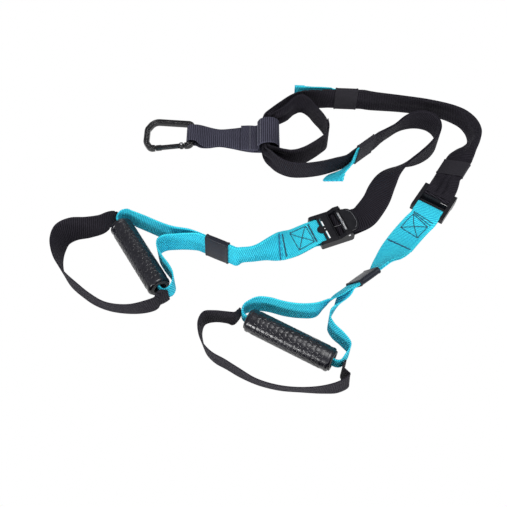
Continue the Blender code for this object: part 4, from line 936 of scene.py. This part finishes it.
def carabiner():
    """The carabiner's bar, and the tongue that holds the gate's pin."""
    path = filleted((
        (-NARROW_HALF * 0.47, -NARROW_HALF, 0),
        (0, -NARROW_HALF, NARROW_HALF * 0.30),
        (0, NARROW_HALF, NARROW_HALF * 0.30),
        (-CARABINER_REACH * 0.86, WIDE_HALF, WIDE_HALF * 0.46),
        (-CARABINER_REACH, WIDE_HALF * 0.44, WIDE_HALF * 0.40),
        (-CARABINER_REACH, -WIDE_HALF * 0.46, WIDE_HALF * 0.36),
        (-CARABINER_REACH * 0.90, -WIDE_HALF * 0.86, WIDE_HALF * 0.24),
        (-CARABINER_REACH * 0.79, -WIDE_HALF * 0.86, 0),
    ))
    world = Matrix.Translation(place(*CARABINER, EYE_RADIUS + ANCHOR_THICK))
    world = world @ Matrix.Rotation(CARABINER_TILT, 4, "Y")
    turn = world.to_3x3()
    axes = [(world @ point, turn @ way.cross(UP), turn @ UP)
            for point, way in zip(path, directions(path))]
    rings = [carabiner_ring(1.0 if 0 < k < len(path) - 1 else 0.94) for k in range(len(path))]
    obj = sweep("carabiner_bar", axes, rings, CAST_BLACK, "carabiner", smooth_angle=50)
    hinge_end = path[0]
    pin = Vector((hinge_end.x - 0.0038 - CLEARANCE * 2, hinge_end.y, 0))
    tongue = [(world @ Vector((x, pin.y, 0)), turn @ Vector((0, 1, 0)), turn @ UP)
              for x in (pin.x - 0.0032, pin.x - 0.0026, hinge_end.x + 0.0032)]
    tongue_obj = sweep("carabiner_tongue", tongue,
                       [round_box(0.0026, 0.0012, 0.0005), round_box(0.0032, 0.0015, 0.0005),
                        round_box(0.0032, 0.0015, 0.0005)], CAST_BLACK, "carabiner")
    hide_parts("carabiner_body")


def slot_shade_wall(name, buckle, ends, outline):
    """A dark wall between a buckle's cheeks, which closes the slot beside its bar with painted shade."""
    turn = buckle.to_3x3()
    path = [(buckle @ Vector((0, y, 0)), turn @ Vector((1, 0, 0)), turn @ UP) for y in ends]
    wall = sweep(name, path, [list(outline)] * 2, SATIN, "webbing", smooth_angle=30)


def lever_arc(label, buckle):
    """The thin raised arc along a lever's edge, grey as a painted highlight on its rim."""
    up = buckle.to_3x3() @ UP
    path = []
    for step in range(ARC_STEPS + 1):
        angle = math.radians(72 - 144 * step / ARC_STEPS)
        across = math.copysign(abs(math.sin(angle)) ** 0.8, angle) * ARC_HALF
        reach = ARC_AT + ARC_REACH * math.cos(angle) ** 0.8
        path.append(buckle @ Vector((AXLE_AT + reach, across, AXLE_HEIGHT + ARC_RISE)))
    axes = [(point, way.cross(up).normalized(), up) for point, way in zip(path, directions(path))]
    line = sweep(label + "_lever_rim_highlight", axes, [list(ARC_SECTION)] * len(axes), RIM_HIGHLIGHT_GREY, label + "_lever")


# Build

def photo_camera():
    data = bpy.data.cameras.new("photo_camera")
    data.lens = 50.0
    data.sensor_width = 36.0
    data.clip_start, data.clip_end = 0.01, 20.0
    camera = linked("photo_camera", data)
    camera.location = (-0.0329, -0.5670, 0.8152)
    camera.rotation_euler = (math.radians(33.0), 0, 0)
    bpy.context.scene.camera = camera


def soft_light(name, spot, aim, size, power):
    data = bpy.data.lights.new(name, "AREA")
    data.shape = "RECTANGLE"
    data.size, data.size_y = size
    data.energy = power
    light = linked(name, data)
    light.location = spot
    light.rotation_euler = (Vector(aim) - Vector(spot)).to_track_quat("-Z", "Y").to_euler()


def studio():
    """A white floor with low white walls far off, a plain sky and the lamps."""
    mesh = bpy.data.meshes.new("floor")
    corners = ((-1, -1), (1, -1), (1, 1), (-1, 1))
    mesh.from_pydata([(x * FLOOR_HALF, y * FLOOR_HALF, z) for z in (0, WALL_TOP) for x, y in corners], [],
                     [(0, 1, 2, 3)] + [(k, (k + 1) % 4, 4 + (k + 1) % 4, 4 + k) for k in range(4)])
    n = Nodes("floor_white")
    n.set(colour=(0.82, 0.82, 0.82), roughness=0.9, specular=0.0)
    glow = n.new("ShaderNodeEmission")
    glow.inputs["Color"].default_value = (1, 1, 1, 1)
    glow.inputs["Strength"].default_value = 1.0
    blend = n.new("ShaderNodeMixShader")
    rays = n.new("ShaderNodeLightPath")
    seen = n.math("MAXIMUM", rays.outputs["Is Camera Ray"], rays.outputs["Is Glossy Ray"])
    n.link(n.math("MAXIMUM", seen, rays.outputs["Is Transmission Ray"]), blend.inputs[0])
    n.link(n.shader.outputs[0], blend.inputs[1])
    n.link(glow.outputs[0], blend.inputs[2])
    n.link(blend.outputs[0], n.tree.nodes["Material Output"].inputs["Surface"])
    mesh.materials.append(n.material)
    linked("floor", mesh)
    world = bpy.data.worlds.new("studio")
    world.use_nodes = True
    world.node_tree.nodes["Background"].inputs["Color"].default_value = (1, 1, 1, 1)
    world.node_tree.nodes["Background"].inputs["Strength"].default_value = SKY_LEVEL
    bpy.context.scene.world = world
    bpy.context.scene.view_settings.view_transform = "Standard"
    for lamp in LAMPS:
        soft_light(*lamp)


photo_camera()
studio()
carabiner()

anchor_rows = list(ANCHOR_LOOP)
for step in range(EYE_STEPS + 1):
    angle = math.radians(270 - EYE_SWEEP * step / EYE_STEPS)
    radius = EYE_RADIUS + ANCHOR_THICK / 2
    anchor_rows.append((CARABINER[0] + radius * math.cos(angle) / PLACE, CARABINER[1],
                        (EYE_RADIUS + ANCHOR_THICK + radius * math.sin(angle)) / PLACE,
                        ANCHOR_EYE_WIDTH_SHARE))
anchor_rows += ANCHOR_BACK
anchor = [Station(place(x, y, height * PLACE), Vector((0, 1, 0)), ANCHOR_WIDTH * width / 100,
                  ANCHOR_THICK * 0.92) for x, y, height, width in smooth_rows(anchor_rows)]
strap("anchor_web", anchor, ANCHOR_SHEEN_CLOTH, "anchor_strap", "black_webbing", folds=False, count=16)

bars = []
on = surface(anchor, -1)
for bar_place in ANCHOR_BAR_PLACES:
    spot = place(*bar_place)
    gaps = [(station.point - spot).length for station in anchor]
    distance = travelled(anchor)[gaps.index(min(gaps))]
    bars.append([(distance, -ANCHOR_WIDTH * 0.49), (distance, ANCHOR_WIDTH * 0.49)])
# The bars are sewn ridges; their light grey thread is painted sheen along them.
sewn("anchor_bars", thread(on, bars, pitch=0.0060, gap=0.0, radius=0.0008), ANCHOR_SHEEN_THREAD)

left_buckle = buckle_matrix(LEFT_BUCKLE, False)
right_buckle = buckle_matrix(RIGHT_BUCKLE, True)
left_base, left_tab = adjustable_leg(
    "left", left_buckle, 90, [*LEFT_LEG, *straight_rows(LEFT_SLEEVE), *LEFT_LEG_END],
    LEFT_SLEEVE, LEFT_TAB)
right_base, right_tab = adjustable_leg(
    "right", right_buckle, -90,
    [*straight_rows(KEEPER), *RIGHT_LEG, *straight_rows(RIGHT_SLEEVE),
     *RIGHT_LEG_END], RIGHT_SLEEVE, RIGHT_TAB)
strap("equaliser_web", strap_route(EQUALISER), BLACK_CLOTH, "equaliser_loop", "black_webbing")
tab_hem("left", left_tab)
tab_hem("right", right_tab)

for name, base, shares, length, node, body in (
        ("left_sleeve", left_base, LEFT_SLEEVE, SLEEVE_LENGTH, "left_tab_sleeve", "left_sleeve"),
        ("right_sleeve", right_base, RIGHT_SLEEVE, SLEEVE_LENGTH, "right_tab_sleeve", "right_sleeve"),
        ("keeper", right_base, KEEPER, KEEPER_LENGTH, "keeper_sleeve", "keeper")):
    band(name + "_web", base, place(*shares[:2]), length, SLEEVE_WALL * 0.8, ELASTIC, node,
         body, rims=0.0003)

for label, buckle, lean, run, slider, grip_at, far_rows, near_rows, cradle, ends in (
        ("left", left_buckle, 90, LEFT_RUN, LEFT_SLIDER, LEFT_GRIP,
         LEFT_FAR, LEFT_NEAR, LEFT_CRADLE, LEFT_CRADLE_END),
        ("right", right_buckle, -90, RIGHT_RUN, RIGHT_SLIDER, RIGHT_GRIP,
         RIGHT_FAR, RIGHT_NEAR, RIGHT_CRADLE, RIGHT_CRADLE_END)):
    far, low, top = handle(label, buckle, lean, run, slider, grip_at, far_rows, near_rows)
    foot_cradle(label, grip_at, cradle, ends)
    grip(label, grip_at)
    band(label + "_slider_band", far, place(*slider[:2]), SLIDER_LENGTH, SLIDER_WALL * 0.66, SLIDER_RUBBER,
         label + "_strap_slider", label + "_slider", rims=0.0006, bow=0.0003, corner=3.0)
    on = surface(top, 1) if label == "left" else surface(low, -1)
    edge = WEB_WIDTH / 2
    first, second, near_box, far_box, last = SEWN_PLACES[label]
    lines = [[(at, -edge * 0.84), (at, edge * 0.84)] for at in (first, second, last, last + 0.0013)]
    lines += box_cross(near_box, far_box, edge * 0.74)
    sewn(label + "_handle_stitches", thread(on, lines), TEAL_THREAD)
    # Painted shadow: a thick dark blue thread along the hem's end, where the top layer's edge casts its
    # shade.
    end = HEM_LENGTHS[label] + 0.0006
    lines = [[(end, -edge * 0.96), (end, edge * 0.96)]]
    sewn(label + "_hem_shadow_line", thread(on, lines, pitch=0.0019, gap=0.0, radius=0.0009), HEM_SHADOW_THREAD)

# Painted shade in the buckles' slots; the right buckle's short wall leaves a gap that shows the white floor
# as a glint.
slot_shade_wall("left_buckle_wall", left_buckle, (-WALL_END, WALL_END), DEEP_WALL)
slot_shade_wall("right_buckle_wall", right_buckle, (-WALL_END, SHORT_WALL_FROM), WALL)
slot_shade_wall("right_slot_shade_short_wall", right_buckle, (SHORT_WALL_FROM, WALL_END), SHORT_WALL)
lever_arc("left", left_buckle)
lever_arc("right", right_buckle)

PAIRS = {"buckle_frame": SATIN, "cam_lever": SATIN, "cam_axle": CHROME, "cam_spring": STEEL,
         "grip_core": CORE_PLASTIC}
looks = {"gate_pin": STEEL, "gate_spring": STEEL, "carabiner_gate": CAST_BLACK}
for label in ("left_", "right_"):
    looks.update({label + piece: material for piece, material in PAIRS.items()})
for node, material in looks.items():
    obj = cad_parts[node]
    obj.data.materials.clear()
    obj.data.materials.append(material)
    if material in (SATIN, CAST_BLACK):
        weld = obj.modifiers.new("weld", "WELD")
        weld.merge_threshold = 0.000005
        soften = obj.modifiers.new("soften", "BEVEL")
        soften.width = 0.0004
        soften.segments = 2
        soften.limit_method = "ANGLE"
        soften.angle_limit = math.radians(38)
